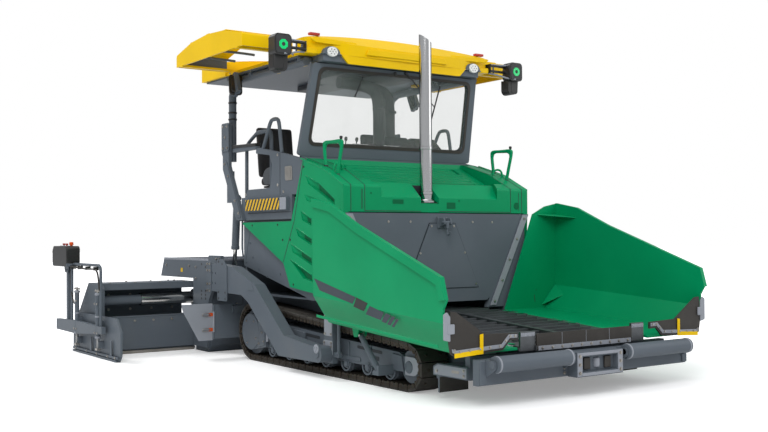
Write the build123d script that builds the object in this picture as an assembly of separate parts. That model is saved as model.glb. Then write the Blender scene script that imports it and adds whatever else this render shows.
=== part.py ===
"""Tracked asphalt paver with a telescoping screed, built as separate pieces.

Millimetres. X is across the machine, its left side positive. Y runs backwards from the
middle of the track's ground contact, and Z is up from the ground. Left-hand pieces are
drawn at +X and their right-hand twins are mirrored. The kept frame has its origin under
the middle of the machine's overall length.
"""

import math
import os

from build123d import *

# Frame
MIDDLE_Y = 756              # middle of the overall length, from mid track
SLACK = 0.3                 # between curved faces that seat on each other
TUBE_SIDES = 12             # flats round a bent tube
BAR_SIDES = 16              # flats round plain bars and rollers

# Tracks
TRACK_OUTER_X = 1245
TRACK_WIDTH = 305
IDLER_Y = -1500
SPROCKET_Y = 1500
IDLER_LOOP_R = 225          # outer line of the loop round the idler
SPROCKET_LOOP_R = 330       # outer line of the loop round the sprocket
LOOP_DEPTH = 75             # chain and pad together
PAD_DEPTH = 32
PAD_GAP = 14
PAD_COUNT = 56
ROLLER_R = 80
ROLLER_COUNT = 7
HUB_REACH = 12              # final drive cover, past the track's outer edge
DRIVE_COVER_R = 210

# Tractor frame and tub
FRAME_X = 890               # outer faces of the low frame's side plates
PLATE = 25
FRAME_FRONT_Y = -2300
FRAME_REAR_Y = 1950
BELLY_Z = 190
TUB_X = 1180                # outer faces of the tub's side plates
TUB_FLOOR_Z = 740
TUB_FRONT_Y = -400
TUB_REAR_Y = 1820
PLATFORM_Z = 1600           # underside of the operator's platform
PLATFORM_DEPTH = 80
PLATFORM_FRONT_Y = 620
PLATFORM_REAR_Y = 1900
PLATFORM_X = 1220
PANEL_X = 1240              # outer faces of the green side panels
SCOOP_DEPTH = 38
SCOOPS = (                  # corners (y, z) of the side panels' air scoops
    ((302, 2064), (44, 1970), (-276, 1787), (-275, 1725), (-63, 1828), (234, 1961)),
    ((327, 1860), (120, 1815), (-275, 1714), (-275, 1660), (60, 1745), (270, 1790)),
    ((398, 1686), (177, 1603), (177, 1522), (364, 1585)),
    ((504, 1510), (175, 1391), (175, 1318), (453, 1415)),
    ((601, 1332), (175, 1189), (175, 1110), (566, 1243)),
    ((640, 1174), (175, 1015), (155, 941), (346, 970)),
)

# Hopper
FLOOR_REAR_Z = 600
FLOOR_FRONT_Z = 465
FLOOR_REAR_Y = -450
FLOOR_FRONT_Y = -2470
FLOOR_X = 780
SLAT_IN = 45                # conveyor slats, each side of the middle guide
SLAT_OUT = 640
SLAT_WIDTH = 35
SLAT_RISE = 22
SLAT_PITCH = 150
HINGE_X = 800
HINGE_DROP = 12             # hinge line below the floor's top
HINGE_R = 16
LEAF_GAP = 4
WING_PLATE = 20
APRON_X = 600               # half width of the centre flap
APRON_HINGE_Z = 435
FLAP_TOP_Z = 590            # rubber flaps across the hopper's mouth
WING_FLOOR_OUT = 1440       # wing section, distances from the machine's middle
WING_CHAMFER_OUT = 1605
WING_TOP_OUT = 1620
WING_CHAMFER_RISE = 262
WING_REAR_Y = -487
REAR_WALL_TOP_Z = 1650

# Push bar
PUSH_BAR_X = 1300
PUSH_BAR_FRONT_Y = -2560
PUSH_BAR_REAR_Y = -2480
PUSH_BAR_LOW_Z = 180
PUSH_BAR_TOP_Z = 395
PUSH_PIVOT_Y = -2430
PUSH_ROLLER_R = 68
PUSH_ROLLER_Y = -2650
PUSH_ROLLER_Z = 360
PUSH_ROLLER_IN = 350
PUSH_ROLLER_OUT = 1215

# Hood, windscreen and roof
HOOD_FRONT_Y = -440
HOOD_FOOT_Z = 1660
HOOD_BROW_Z = 1930
HOOD_KNEE = (-60, 2118)     # y and z where the top turns flatter
HOOD_REAR_Y = 400
HOOD_TOP_Z = 2250
HOOD_BOX_Z = 1810           # top edge of the front boxes
HOOD_SINK = 55              # louvred middle, below the fenders
HOOD_SUNK_X = 975
HOOD_BOXES = ((-780, -272), (-33, 880))
EXHAUST_SLOT = (-272, -33)
RIB_COUNT = 6
RIB_FIRST_Y = -40
RIB_PITCH = 72
SCREEN_FOOT = (550, 2290)   # y and z of the windscreen frame's lower edge
SCREEN_HEAD = (330, 3270)
SCREEN_FOOT_X = 1190
SCREEN_HEAD_X = 1130
SCREEN_FRAME = 110          # frame width round the glass
SCREEN_THICK = 50
EXHAUST_X = -129
EXHAUST_Y = -340
EXHAUST_R = 67
EXHAUST_TOP_Z = 3560
ROOF_X = 1250
ROOF_FRONT_Y = 150          # middle of the front edge
ROOF_REAR_Y = 2780
ROOF_BASE_Z = 3350
ROOF_SKIN = 30
ROOF_EAVE_RISE = 170
ROOF_EAVE_Z = ROOF_BASE_Z + ROOF_EAVE_RISE
ROOF_CROWN_RISE = 90        # crown over the eaves
ROOF_CROWN_Z = ROOF_EAVE_Z + ROOF_CROWN_RISE
ROOF_BOW = 120              # the front edge falls back at its corners
ROOF_LIP_X = 770            # half width of the lip over the windscreen
ROOF_LIP_DROP = 88
SPINE_X = 640
SPINE_SLOT = 60             # height of the awnings' way under the spine
AWNING_OUT = 1900
AWNING_FRONT_Y = 450
AWNING_REAR_Y = 2110
AWNING_TRAVEL = 620
AWNING_SKIN = 20
POST_R = 46
LEG_X = 1240                # middle of the rear leg plates
LEG_THICK = 40

# Tow arms and screed
TOW_Y = -285
TOW_Z = 245
TOW_PIN_R = 36
ARM_THICK = 130
SCREED_X = 1290             # half width of the basic screed
SCREED_FRONT_Y = 2480
SCREED_BOX_REAR_Y = 2920
SCREED_TOP_Z = 1080
DECK_THICK = 40
BOLT_MIDDLE = (2050, 930)   # y and z of the screed's bolt pattern on each tow arm
BOLT_SPACING = (80, 120)
BOLT_R = 11
TIE_DOWN = (-2080, 258)     # y and z of the tie-down holes in the side brackets
TIE_DOWN_R = 25
DECK_REAR_Y = 3850
SIDE_PLATE = 40
ARM_IN_X = SCREED_X + SIDE_PLATE
TUBE_Y = 3130
TUBE_Z = 650
TUBE_OUTER_R = 96
TUBE_MIDDLE_R = 76
TUBE_INNER_R = 60
TUBE_GAP = 0.5
TUBE_END_X = SCREED_X - 45  # the outer tube stops inside the slid-in end plate
STAGE_IN_X = 760            # middle stage of the telescoping tube
STAGE_OUT_X = 1950
EXTENSION_OUT = 2500
EXTENSION_TRAVEL = 1190     # until the gate meets the basic screed's end plate
EXTENSION_FRONT_Y = 2960
EXTENSION_REAR_Y = 3750
EXTENSION_BOX_Z = 440
EXTENSION_SHIELD_Z = 860
GATE_X = 2555
GATE_FRONT_Y = 2170
GATE_REAR_Y = EXTENSION_REAR_Y + 60
LIFT_TOP = (2130, 1880)     # y and z of the lift cylinder's upper pin
LIFT_EYE = (2220, 920)
LIFT_X = 1110
LIFT_BARREL_R = 45
LIFT_ROD_R = 26
LIFT_BARREL_LENGTH = 620
LIFT_PIN_R = 19
LIFT_EYE_BORE = 32          # wide, so the rod's eye can drift round its pin

# Wing cylinder
TILT_FOOT = (1350, -1190, 180)
TILT_EYE = (1330, -860, 490)
TILT_BARREL_R = 28
TILT_ROD_R = 16
TILT_BALL_R = 30
TILT_BARREL_LENGTH = 415
LUG_SPREAD = 52             # from the cylinder's middle to each wing lug

# Auger
AUGER_Y = 2240
AUGER_Z = 420
AUGER_R = 195
AUGER_SHAFT_R = 45
AUGER_PITCH = 300
AUGER_IN = 140
AUGER_OUT = 1235
TUNNEL_Y = 2000
TUNNEL_HINGE_X = 1492
TUNNEL_PIN_LOW = 300
TUNNEL_PIN_TOP = 540


def box(x, y, z):
    """A box between the two values of each pair."""
    solid = Box(x[1] - x[0], y[1] - y[0], z[1] - z[0])
    return Pos((x[0] + x[1]) / 2, (y[0] + y[1]) / 2, (z[0] + z[1]) / 2) * solid


def outline(corners):
    """A closed face through (a, b) corners; a third value rounds that corner."""
    points = [Vector(corner[0], corner[1]) for corner in corners]
    starts, middles, ends = [], [], []
    for index, point in enumerate(points):
        radius = corners[index][2] if len(corners[index]) > 2 else 0
        before = (points[index - 1] - point).normalized()
        after = (points[(index + 1) % len(points)] - point).normalized()
        half = math.radians(before.get_angle(after) / 2)
        reach = radius / math.tan(half)
        starts.append(point + before * reach)
        ends.append(point + after * reach)
        inward = (before + after).normalized() if radius else before
        middles.append(point + inward * (radius / math.sin(half) - radius))
    edges = []
    for index, point in enumerate(points):
        if (ends[index] - starts[index]).length > 1e-6:
            edges.append(Edge.make_three_point_arc(starts[index], middles[index], ends[index]))
        following = starts[(index + 1) % len(points)]
        if (following - ends[index]).length > 1e-6:
            edges.append(Edge.make_line(ends[index], following))
    return make_face(edges)


def across(corners, x0, x1):
    """A (y, z) outline made solid between two values of x."""
    return extrude(Plane.YZ.offset(x0) * outline(corners), amount=x1 - x0)


def along(corners, y0, y1):
    """An (x, z) outline made solid between two values of y."""
    return extrude(Plane.XZ.offset(-y1) * outline(corners), amount=y1 - y0)


def upright(corners, z0, z1):
    """An (x, y) outline made solid between two values of z."""
    return extrude(Plane.XY.offset(z0) * outline(corners), amount=z1 - z0)


def rod(start, end, radius, sides=0):
    """A bar between two points: round for pins and bores, or with a number of flat sides."""
    first, last = Vector(*start), Vector(*end)
    plane = Plane(origin=first, z_dir=last - first)
    section = RegularPolygon(radius, sides) if sides else Circle(radius)
    return extrude(plane * section, amount=(last - first).length)


def bent_tube(points, radius, bend):
    """A tube through points, each corner turned in two short steps, in flat-sided section."""
    places = [Vector(*point) for point in points]
    path = [places[0]]
    for index in range(1, len(places) - 1):
        corner = places[index]
        before = (places[index - 1] - corner).normalized()
        after = (places[index + 1] - corner).normalized()
        half = math.radians(before.get_angle(after) / 2)
        reach = bend / math.tan(half)
        inward = (before + after).normalized()
        path.append(corner + before * reach)
        path.append(corner + inward * (bend / math.sin(half) - bend))
        path.append(corner + after * reach)
    path.append(places[-1])
    wire = Wire([Edge.make_line(a, b) for a, b in zip(path, path[1:])])
    start = Plane(origin=path[0], z_dir=path[1] - path[0])
    return sweep(start * RegularPolygon(radius, TUBE_SIDES), path=wire, transition=Transition.RIGHT)


def twin(solid):
    """The same piece on the other side of the machine."""
    return mirror(solid, about=Plane.YZ)


def both(solid):
    """A left-hand piece with its right-hand twin."""
    return solid + twin(solid)


def floor_z(y):
    """Top of the hopper floor, which falls towards the front."""
    slope = (FLOOR_REAR_Z - FLOOR_FRONT_Z) / (FLOOR_REAR_Y - FLOOR_FRONT_Y)
    return FLOOR_REAR_Z + slope * (y - FLOOR_REAR_Y)


def screen_plane():
    """Plane of the windscreen, origin at the middle of its foot, normal forwards."""
    rise = Vector(0, SCREEN_HEAD[0] - SCREEN_FOOT[0], SCREEN_HEAD[1] - SCREEN_FOOT[1])
    across_x = Vector(1, 0, 0)
    return Plane(origin=(0, *SCREEN_FOOT), x_dir=across_x, z_dir=across_x.cross(rise))


# ---------------------------------------------------------------- tracks


def belt_point(travel, inset):
    """A (y, z) point inside the loop's outer line, at a travel from the front ground contact."""
    spacing = SPROCKET_Y - IDLER_Y
    rise = 2 * math.atan2(SPROCKET_LOOP_R - IDLER_LOOP_R, spacing)
    rear_arc = SPROCKET_LOOP_R * (math.pi + rise)
    top_angle = math.pi / 2 + rise
    if travel < spacing:
        return IDLER_Y + travel, inset
    travel -= spacing
    if travel < rear_arc:
        angle = travel / SPROCKET_LOOP_R - math.pi / 2
        reach = SPROCKET_LOOP_R - inset
        return SPROCKET_Y + reach * math.cos(angle), SPROCKET_LOOP_R + reach * math.sin(angle)
    travel -= rear_arc
    if travel < spacing:
        reach = SPROCKET_LOOP_R - inset
        y = SPROCKET_Y + reach * math.cos(top_angle) - travel * math.sin(top_angle)
        z = SPROCKET_LOOP_R + reach * math.sin(top_angle) + travel * math.cos(top_angle)
        return y, z
    angle = top_angle + (travel - spacing) / IDLER_LOOP_R
    reach = IDLER_LOOP_R - inset
    return IDLER_Y + reach * math.cos(angle), IDLER_LOOP_R + reach * math.sin(angle)


def belt_length():
    """Length of the loop's outer line."""
    spacing = SPROCKET_Y - IDLER_Y
    rise = 2 * math.atan2(SPROCKET_LOOP_R - IDLER_LOOP_R, spacing)
    arcs = SPROCKET_LOOP_R * (math.pi + rise) + IDLER_LOOP_R * (math.pi - rise)
    return 2 * spacing + arcs


def belt_face(inset):
    """The area inside the loop's outer line, inset all round."""
    spacing = SPROCKET_Y - IDLER_Y
    rise = 2 * math.atan2(SPROCKET_LOOP_R - IDLER_LOOP_R, spacing)
    rear = spacing + SPROCKET_LOOP_R * (math.pi + rise)
    top = rear + spacing
    whole = belt_length()
    stations = [0, spacing, (spacing + rear) / 2, rear, top, (top + whole) / 2]
    foot, heel, back, crown, brow, nose = [Vector(*belt_point(s, inset)) for s in stations]
    edges = [
        Edge.make_line(foot, heel),
        Edge.make_three_point_arc(heel, back, crown),
        Edge.make_line(crown, brow),
        Edge.make_three_point_arc(brow, nose, foot),
    ]
    return make_face(edges)


def track():
    """One closed loop, its pads standing out of the chain."""
    pitch = belt_length() / PAD_COUNT
    corners = []
    for pad in range(PAD_COUNT):
        first = pad * pitch + PAD_GAP / 2
        last = (pad + 1) * pitch - PAD_GAP / 2
        corners.append(belt_point(first, PAD_DEPTH))
        corners.append(belt_point(first, 0))
        corners.append(belt_point(last, 0))
        corners.append(belt_point(last, PAD_DEPTH))
    inner_x = TRACK_OUTER_X - TRACK_WIDTH
    loop = across(corners, inner_x, TRACK_OUTER_X)
    hollow = extrude(Plane.YZ.offset(inner_x) * belt_face(LOOP_DEPTH), amount=TRACK_WIDTH)
    return loop - hollow


def track_frames():
    """Roller frame inside the loop, with idler, rollers, sprocket and final drive."""
    side_in = TRACK_OUTER_X - TRACK_WIDTH + 30
    side_out = TRACK_OUTER_X - 30
    low = 170
    front = IDLER_Y + 170
    profile = [
        (IDLER_Y - 60, 190), (IDLER_Y - 60, 260), (front, 345),
        (SPROCKET_Y - 500, 462), (SPROCKET_Y - 100, 430), (SPROCKET_Y - 100, 230),
        (SPROCKET_Y - 270, low), (front, low),
    ]
    frame = across(profile, side_out - 20, side_out) + across(profile, side_in, side_in + 20)
    web = [(front, 300), (front, 345), (SPROCKET_Y - 500, 462), (SPROCKET_Y - 320, 450),
           (SPROCKET_Y - 320, 400)]
    frame += across(web, side_in, side_out)
    roller_z = LOOP_DEPTH + ROLLER_R + SLACK
    first = IDLER_Y + 300
    step = (SPROCKET_Y - 450 - first) / (ROLLER_COUNT - 1)
    for index in range(ROLLER_COUNT):
        y = first + index * step
        frame += rod((side_in + 30, y, roller_z), (side_out - 30, y, roller_z), ROLLER_R, BAR_SIDES)
        frame += rod((side_in, y, roller_z), (side_out + 8, y, roller_z), 28, TUBE_SIDES)
    idler_r = IDLER_LOOP_R - LOOP_DEPTH - SLACK
    sprocket_r = SPROCKET_LOOP_R - LOOP_DEPTH - SLACK
    frame += rod((side_in + 20, IDLER_Y, IDLER_LOOP_R), (side_out - 20, IDLER_Y, IDLER_LOOP_R), idler_r,
                 2 * BAR_SIDES)
    hub = (SPROCKET_Y, SPROCKET_LOOP_R)
    frame += rod((side_in + 20, *hub), (side_out - 20, *hub), sprocket_r, 2 * BAR_SIDES)
    frame += rod((FRAME_X, *hub), (side_in + 20, *hub), 160, 2 * BAR_SIDES)
    cover_x = TRACK_OUTER_X + HUB_REACH
    frame += rod((side_out - 25, *hub), (cover_x, *hub), DRIVE_COVER_R, 3 * BAR_SIDES)
    cheek = [(SPROCKET_Y - 350, 180), (SPROCKET_Y, hub[1] - DRIVE_COVER_R),
             (SPROCKET_Y, hub[1] + DRIVE_COVER_R), (SPROCKET_Y - 260, 500), (SPROCKET_Y - 350, 470)]
    frame += across(cheek, side_out - 25, cover_x)
    for y in (IDLER_Y + 500, SPROCKET_Y - 900):
        frame += box((FRAME_X, side_in), (y, y + 150), (230, 330))
    return both(frame)


def tilt_feet():
    """Brackets on the roller frames that hold the feet of the wings' cylinders."""
    x, y, z = TILT_FOOT
    seat = TILT_BALL_R + 0.5
    frame_x = TRACK_OUTER_X - 30
    cheek = [(y - 40, z - 45), (y + 30, z - 45), (y + 30, z - 20), (y + 10, z), (y - 40, z)]
    foot = box((frame_x, x + seat + 16), (y - 70, y - 40), (z - 45, z + 45))
    foot += across(cheek, x - seat - 16, x - seat) + across(cheek, x + seat, x + seat + 16)
    return both(foot)


# ---------------------------------------------------------------- tractor


def main_frame():
    """Low frame between the tracks: side plates, belly, cross members and conveyor pan."""
    under = floor_z(FRAME_FRONT_Y) - 20
    profile = [
        (FRAME_FRONT_Y, BELLY_Z, 30), (FRAME_FRONT_Y, under - 40), (FLOOR_REAR_Y, FLOOR_REAR_Z - 60),
        (FLOOR_REAR_Y, TUB_FLOOR_Z), (FRAME_REAR_Y, TUB_FLOOR_Z), (FRAME_REAR_Y, 300, 60),
        (FRAME_REAR_Y - 200, BELLY_Z, 60),
    ]
    frame = both(across(profile, FRAME_X - PLATE, FRAME_X))
    frame += box((-FRAME_X, FRAME_X), (FRAME_FRONT_Y + 60, FRAME_REAR_Y - 260), (BELLY_Z, BELLY_Z + 20))
    for y in (FRAME_FRONT_Y, -1300, FLOOR_REAR_Y, 600, 1500):
        top = floor_z(min(y, FLOOR_REAR_Y)) - 20
        frame += box((-FRAME_X, FRAME_X), (y, y + PLATE), (BELLY_Z, top - 40))
        frame += box((-HINGE_X + 30, HINGE_X - 30), (y, y + PLATE), (top - 40, top))
    return frame + push_bar_mount()


def push_bar_mount():
    """Front cross member with the push bar's clevis, track scrapers and side brackets."""
    beam = box((-1230, 1230), (FRAME_FRONT_Y - 60, FRAME_FRONT_Y), (BELLY_Z + 10, 400))
    for z in (255, 315):
        ear = [(-90, FRAME_FRONT_Y - 60), (90, FRAME_FRONT_Y - 60), (45, PUSH_PIVOT_Y - 30, 30),
               (-45, PUSH_PIVOT_Y - 30, 30)]
        beam += upright(ear, z - 10, z + 10)
    beam += rod((0, PUSH_PIVOT_Y, 235), (0, PUSH_PIVOT_Y, 335), 24)
    bracket = [(FRAME_FRONT_Y - 60, 205), (FRAME_FRONT_Y - 60, 310), (-1960, 310), (-1900, 280),
               (-1900, 205)]
    beam += both(across(bracket, 1230, 1262) - rod((1229, *TIE_DOWN), (1263, *TIE_DOWN), TIE_DOWN_R))
    scraper = box((TRACK_OUTER_X - TRACK_WIDTH, TRACK_OUTER_X + 17), (-1990, -1970), (60, 235))
    hanger = box((TRACK_OUTER_X - TRACK_WIDTH, 1262), (-1970, -1950), (180, 300))
    stay = box((FRAME_X, TRACK_OUTER_X - TRACK_WIDTH + 40), (FRAME_FRONT_Y, -1950), (250, 300))
    return beam + both(scraper + hanger + stay)


def hopper_floor():
    """Sloping hopper floor that runs on through the conveyor tunnel, with hinge knuckles."""
    profile = [
        (FLOOR_FRONT_Y, FLOOR_FRONT_Z - 20), (FLOOR_FRONT_Y, FLOOR_FRONT_Z),
        (FLOOR_REAR_Y, FLOOR_REAR_Z), (FRAME_REAR_Y, FLOOR_REAR_Z),
        (FRAME_REAR_Y, FLOOR_REAR_Z - 20), (FLOOR_REAR_Y, FLOOR_REAR_Z - 20),
    ]
    floor = across(profile, -FLOOR_X, FLOOR_X)
    guide = [(y, floor_z(y)) for y in (FLOOR_FRONT_Y, FLOOR_REAR_Y)]
    floor += across([guide[0], guide[1], (guide[1][0], guide[1][1] + 30), (guide[0][0], guide[0][1] + 30)],
                    -30, 30)
    for first, last in hinge_spans()[0::2]:
        leaf = leaf_outline(first, last, 8, HINGE_DROP)
        floor += both(across(leaf, FLOOR_X, HINGE_X) + knuckle(first, last))
    ear = APRON_X + 9
    corner_flap = [(ear, FLOOR_FRONT_Z - 40), (FLOOR_X, FLOOR_FRONT_Z - 40), (FLOOR_X, FLAP_TOP_Z),
                   (ear, FLAP_TOP_Z)]
    floor += both(along(corner_flap, FLOOR_FRONT_Y - 20, FLOOR_FRONT_Y))
    ear_y = (FLOOR_FRONT_Y - 36, FLOOR_FRONT_Y)
    floor += both(box((APRON_X + SLACK, ear), ear_y, (APRON_HINGE_Z - 15, FLOOR_FRONT_Z)))
    for slat in conveyor_slats():
        floor += both(slat)
    return floor


def conveyor_slats():
    """Twin drag conveyors: flat slats across each half of the hopper floor."""
    slats = []
    y = FLOOR_FRONT_Y + 60
    while y < FRAME_REAR_Y - 60:
        z = floor_z(min(y, FLOOR_REAR_Y))
        slats.append(box((SLAT_IN, SLAT_OUT), (y, y + SLAT_WIDTH), (z - 5, z + SLAT_RISE)))
        y += SLAT_PITCH
    return slats


def hinge_spans():
    """Alternating stretches of the wing hinge: floor, wing, floor, wing, floor."""
    front, rear = FLOOR_FRONT_Y + 40, WING_REAR_Y - 30
    count = 5
    span = (rear - front) / count
    return [(front + index * span, front + (index + 1) * span) for index in range(count)]


def knuckle(first, last):
    """One barrel of the wing hinge."""
    first, last = first + SLACK, last - SLACK
    start = (HINGE_X, first, floor_z(first) - HINGE_DROP)
    return rod(start, (HINGE_X, last, floor_z(last) - HINGE_DROP), HINGE_R)


def leaf_outline(first, last, below, above):
    """Side view of one hinge leaf, between heights under and over the hinge line."""
    first, last = first + LEAF_GAP, last - LEAF_GAP
    lift = [floor_z(y) - HINGE_DROP for y in (first, last)]
    return [(first, lift[0] - below), (first, lift[0] + above), (last, lift[1] + above),
            (last, lift[1] - below)]


def hopper_rear_wall():
    """Plate behind the hopper, with its bolted sealing strips and raised hatch."""
    low = FLOOR_REAR_Z + 110
    wall = along([(-TUB_X, TUB_FLOOR_Z), (-660, TUB_FLOOR_Z), (-620, low), (620, low), (660, TUB_FLOOR_Z),
                  (TUB_X, TUB_FLOOR_Z), (TUB_X, REAR_WALL_TOP_Z), (-TUB_X, REAR_WALL_TOP_Z)],
                 FLOOR_REAR_Y, TUB_FRONT_Y)
    strip = along([(650, 640), (745, 640), (1235, REAR_WALL_TOP_Z), (1140, REAR_WALL_TOP_Z)],
                  FLOOR_REAR_Y - 8, FLOOR_REAR_Y)
    foot = along([(620, 630), (TUB_X, 630), (TUB_X, TUB_FLOOR_Z), (660, TUB_FLOOR_Z)],
                 FLOOR_REAR_Y, TUB_FRONT_Y)
    foot -= box((FRAME_X - PLATE, FRAME_X), (FLOOR_REAR_Y - 1, TUB_FRONT_Y + 1), (600, TUB_FLOOR_Z))
    hatch = along([(-490, 860, 20), (490, 860, 20), (170, 1540, 20), (-170, 1540, 20)],
                  FLOOR_REAR_Y - 10, FLOOR_REAR_Y)
    return wall + both(strip + foot) + hatch


def tractor_body():
    """Tub that carries the engine and the platform: floor, sides, rear wall."""
    side = [(TUB_FRONT_Y, TUB_FLOOR_Z), (TUB_FRONT_Y, HOOD_FOOT_Z), (PLATFORM_FRONT_Y, HOOD_FOOT_Z),
            (PLATFORM_FRONT_Y, PLATFORM_Z), (TUB_REAR_Y, PLATFORM_Z), (TUB_REAR_Y, 1080, 40),
            (440, 780, 80), (300, TUB_FLOOR_Z)]
    body = both(across(side, TUB_X - PLATE, TUB_X))
    body += box((-TUB_X + PLATE, TUB_X - PLATE), (TUB_FRONT_Y, TUB_REAR_Y), (TUB_FLOOR_Z, TUB_FLOOR_Z + 20))
    body += box((-TUB_X + PLATE, TUB_X - PLATE), (TUB_REAR_Y - PLATE, TUB_REAR_Y),
                (TUB_FLOOR_Z, PLATFORM_Z))
    return body


def engine_block():
    """The engine as one plain block at its place."""
    return box((-480, 480), (-300, 560), (TUB_FLOOR_Z + 20, 1560))


def hood():
    """Engine hood: high fenders, a sunk louvred middle and two front boxes beside the exhaust."""
    outer = [(HOOD_FRONT_Y, HOOD_FOOT_Z), (HOOD_FRONT_Y, HOOD_BROW_Z, 40), HOOD_KNEE,
             (HOOD_REAR_Y, HOOD_TOP_Z),
             (HOOD_REAR_Y + 150, HOOD_TOP_Z), (HOOD_REAR_Y + 150, HOOD_FOOT_Z)]
    skin = 40
    roofline = [(HOOD_FRONT_Y + skin, HOOD_BOX_Z - skin), (-250, 1850),
                (HOOD_REAR_Y, HOOD_TOP_Z - HOOD_SINK - skin)]
    inner = [(HOOD_FRONT_Y + skin, HOOD_FOOT_Z - 1), *roofline,
             (HOOD_REAR_Y + 110, HOOD_TOP_Z - HOOD_SINK - skin), (HOOD_REAR_Y + 110, HOOD_FOOT_Z - 1)]
    cover = across(outer, -TUB_X, TUB_X) - across(inner, -TUB_X + skin, TUB_X - skin)
    sunk = [(HOOD_FRONT_Y - 1, HOOD_BOX_Z), (HOOD_FRONT_Y + 70, HOOD_BOX_Z + 20), (-250, 1890),
            (HOOD_REAR_Y, HOOD_TOP_Z - HOOD_SINK),
            (HOOD_REAR_Y + 20, HOOD_TOP_Z + 1), (HOOD_FRONT_Y - 1, HOOD_TOP_Z + 1)]
    cover -= across(sunk, -HOOD_SUNK_X, HOOD_SUNK_X)
    for side in (-1, 1):
        flare = upright([(side * HOOD_SUNK_X, HOOD_FRONT_Y - 1),
                         (side * (HOOD_SUNK_X - 190), HOOD_FRONT_Y - 1),
                         (side * HOOD_SUNK_X, -60)], HOOD_FOOT_Z + 150, HOOD_BROW_Z + 60)
        cover += flare & across(outer, -TUB_X, TUB_X)
    brow = [(HOOD_FRONT_Y, HOOD_BOX_Z - 30), (HOOD_FRONT_Y, HOOD_BOX_Z, 10), (-250, 1975, 20),
            (-170, 1975), (-170, 1880)]
    for near, far in HOOD_BOXES:
        cover += across(brow, near, far)
    for index in range(RIB_COUNT):
        y = RIB_FIRST_Y + index * RIB_PITCH
        z = 1890 + (y + 250) * (HOOD_TOP_Z - HOOD_SINK - 1890) / (HOOD_REAR_Y + 250)
        rib = [(y, z - 12), (y + 6, z + 22), (y + 34, z + 34), (y + 34, z - 5)]
        cover += across(rib, -HOOD_SUNK_X + 60 + 40 * index, HOOD_SUNK_X - 60 - 40 * index)
    x0, x1 = EXHAUST_SLOT
    cover -= box((x0, x1), (HOOD_FRONT_Y - 1, -120), (HOOD_FOOT_Z + 90, HOOD_TOP_Z))
    cover += box((x0 - 10, x1 + 10), (HOOD_FRONT_Y + 20, -100), (HOOD_FOOT_Z + 80, HOOD_FOOT_Z + 100))
    return cover + grab_handles()


def side_panels():
    """Green side covers of the tractor, with their air scoops."""
    profile = [(TUB_FRONT_Y, 830), (HOOD_FRONT_Y, 1660), (HOOD_FRONT_Y, HOOD_BROW_Z, 30), HOOD_KNEE,
               (350, 2225, 20),
               (600, 1580), (1770, 1580, 10), (775, 1125), (630, 870), (80, 815)]
    panel = across(profile, TUB_X, PANEL_X)
    for scoop in SCOOPS:
        panel -= scoop_cut(scoop)
    return both(panel)


def scoop_cut(corners):
    """A scoop: flush along its upper edge's rear end, and deepest at its front end."""
    rear = max(y for y, z in corners)
    front = min(y for y, z in corners)
    wedge = upright([(PANEL_X + 1, rear + 5), (PANEL_X - SCOOP_DEPTH, rear - (rear - front) * 0.35),
                     (PANEL_X - SCOOP_DEPTH, front - 1), (PANEL_X + 1, front - 1)], 600, 2300)
    return wedge & across(corners, PANEL_X - SCOOP_DEPTH - 1, PANEL_X + 1)


# ---------------------------------------------------------------- platform, windscreen, roof


def platform():
    """Operator's floor, its side beams and the striped guard boxes."""
    top = PLATFORM_Z + PLATFORM_DEPTH
    deck = box((-PLATFORM_X, PLATFORM_X), (PLATFORM_FRONT_Y, PLATFORM_REAR_Y), (PLATFORM_Z, top))
    guard = box((PLATFORM_X - 20, PANEL_X + 20), (670, 1630), (top + 25, top + 165))
    sill = box((TUB_X, PLATFORM_X), (620, PLATFORM_REAR_Y - 100), (top, top + 190))
    return deck + both(guard + sill)


def platform_sides():
    """Grey side walls of the operator's stand, with their window cut out."""
    low = PLATFORM_Z + PLATFORM_DEPTH + 190
    profile = [(505, low), (365, 2235, 10), (850, 2340), (1430, 2440, 20), (1440, 2370, 10), (1120, 2330),
               (1060, 2220), (1100, 1960, 40), (1650, 1960), (1700, low)]
    wall = across(profile, TUB_X, PLATFORM_X)
    return both(wall) + handrails()


def handrails():
    """Tube hoops on the side walls and the rear guard rail."""
    x = PLATFORM_X - 20
    hoop = bent_tube([(x, 870, 2345), (x, 930, 2720), (x, 1110, 2720), (x, 1300, 2415)], 17, 50)
    rest = box((x - 30, x + 30), (1430, 2010), (2420, 2480))
    rail = bent_tube([(x - 80, 1860, PLATFORM_Z + PLATFORM_DEPTH), (x - 80, 1860, 2500),
                      (x - 80, 1600, 2620),
                      (x - 80, 1250, 2620), (x - 80, 1250, PLATFORM_Z + PLATFORM_DEPTH)], 17, 60)
    return both(hoop + rest + rail)


def seats():
    """Two operator's seats at the platform's sides."""
    base = PLATFORM_Z + PLATFORM_DEPTH
    seat = box((560, 940), (1350, 1700), (base, base + 330))
    seat += box((490, 1010), (1260, 1780), (base + 330, base + 450))
    back = across([(1720, base + 450), (1840, base + 450), (1900, base + 1080, 40),
                   (1810, base + 1080, 40)], 510, 990)
    return both(seat + back)


def console():
    """Control desk between and ahead of the seats."""
    base = PLATFORM_Z + PLATFORM_DEPTH
    stand = box((-450, 450), (640, 830), (base, 2250))
    desk = across([(620, 2250), (620, 2330), (1010, 2440, 20), (1030, 2390, 20), (900, 2250)], -560, 560)
    return stand + desk


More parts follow.
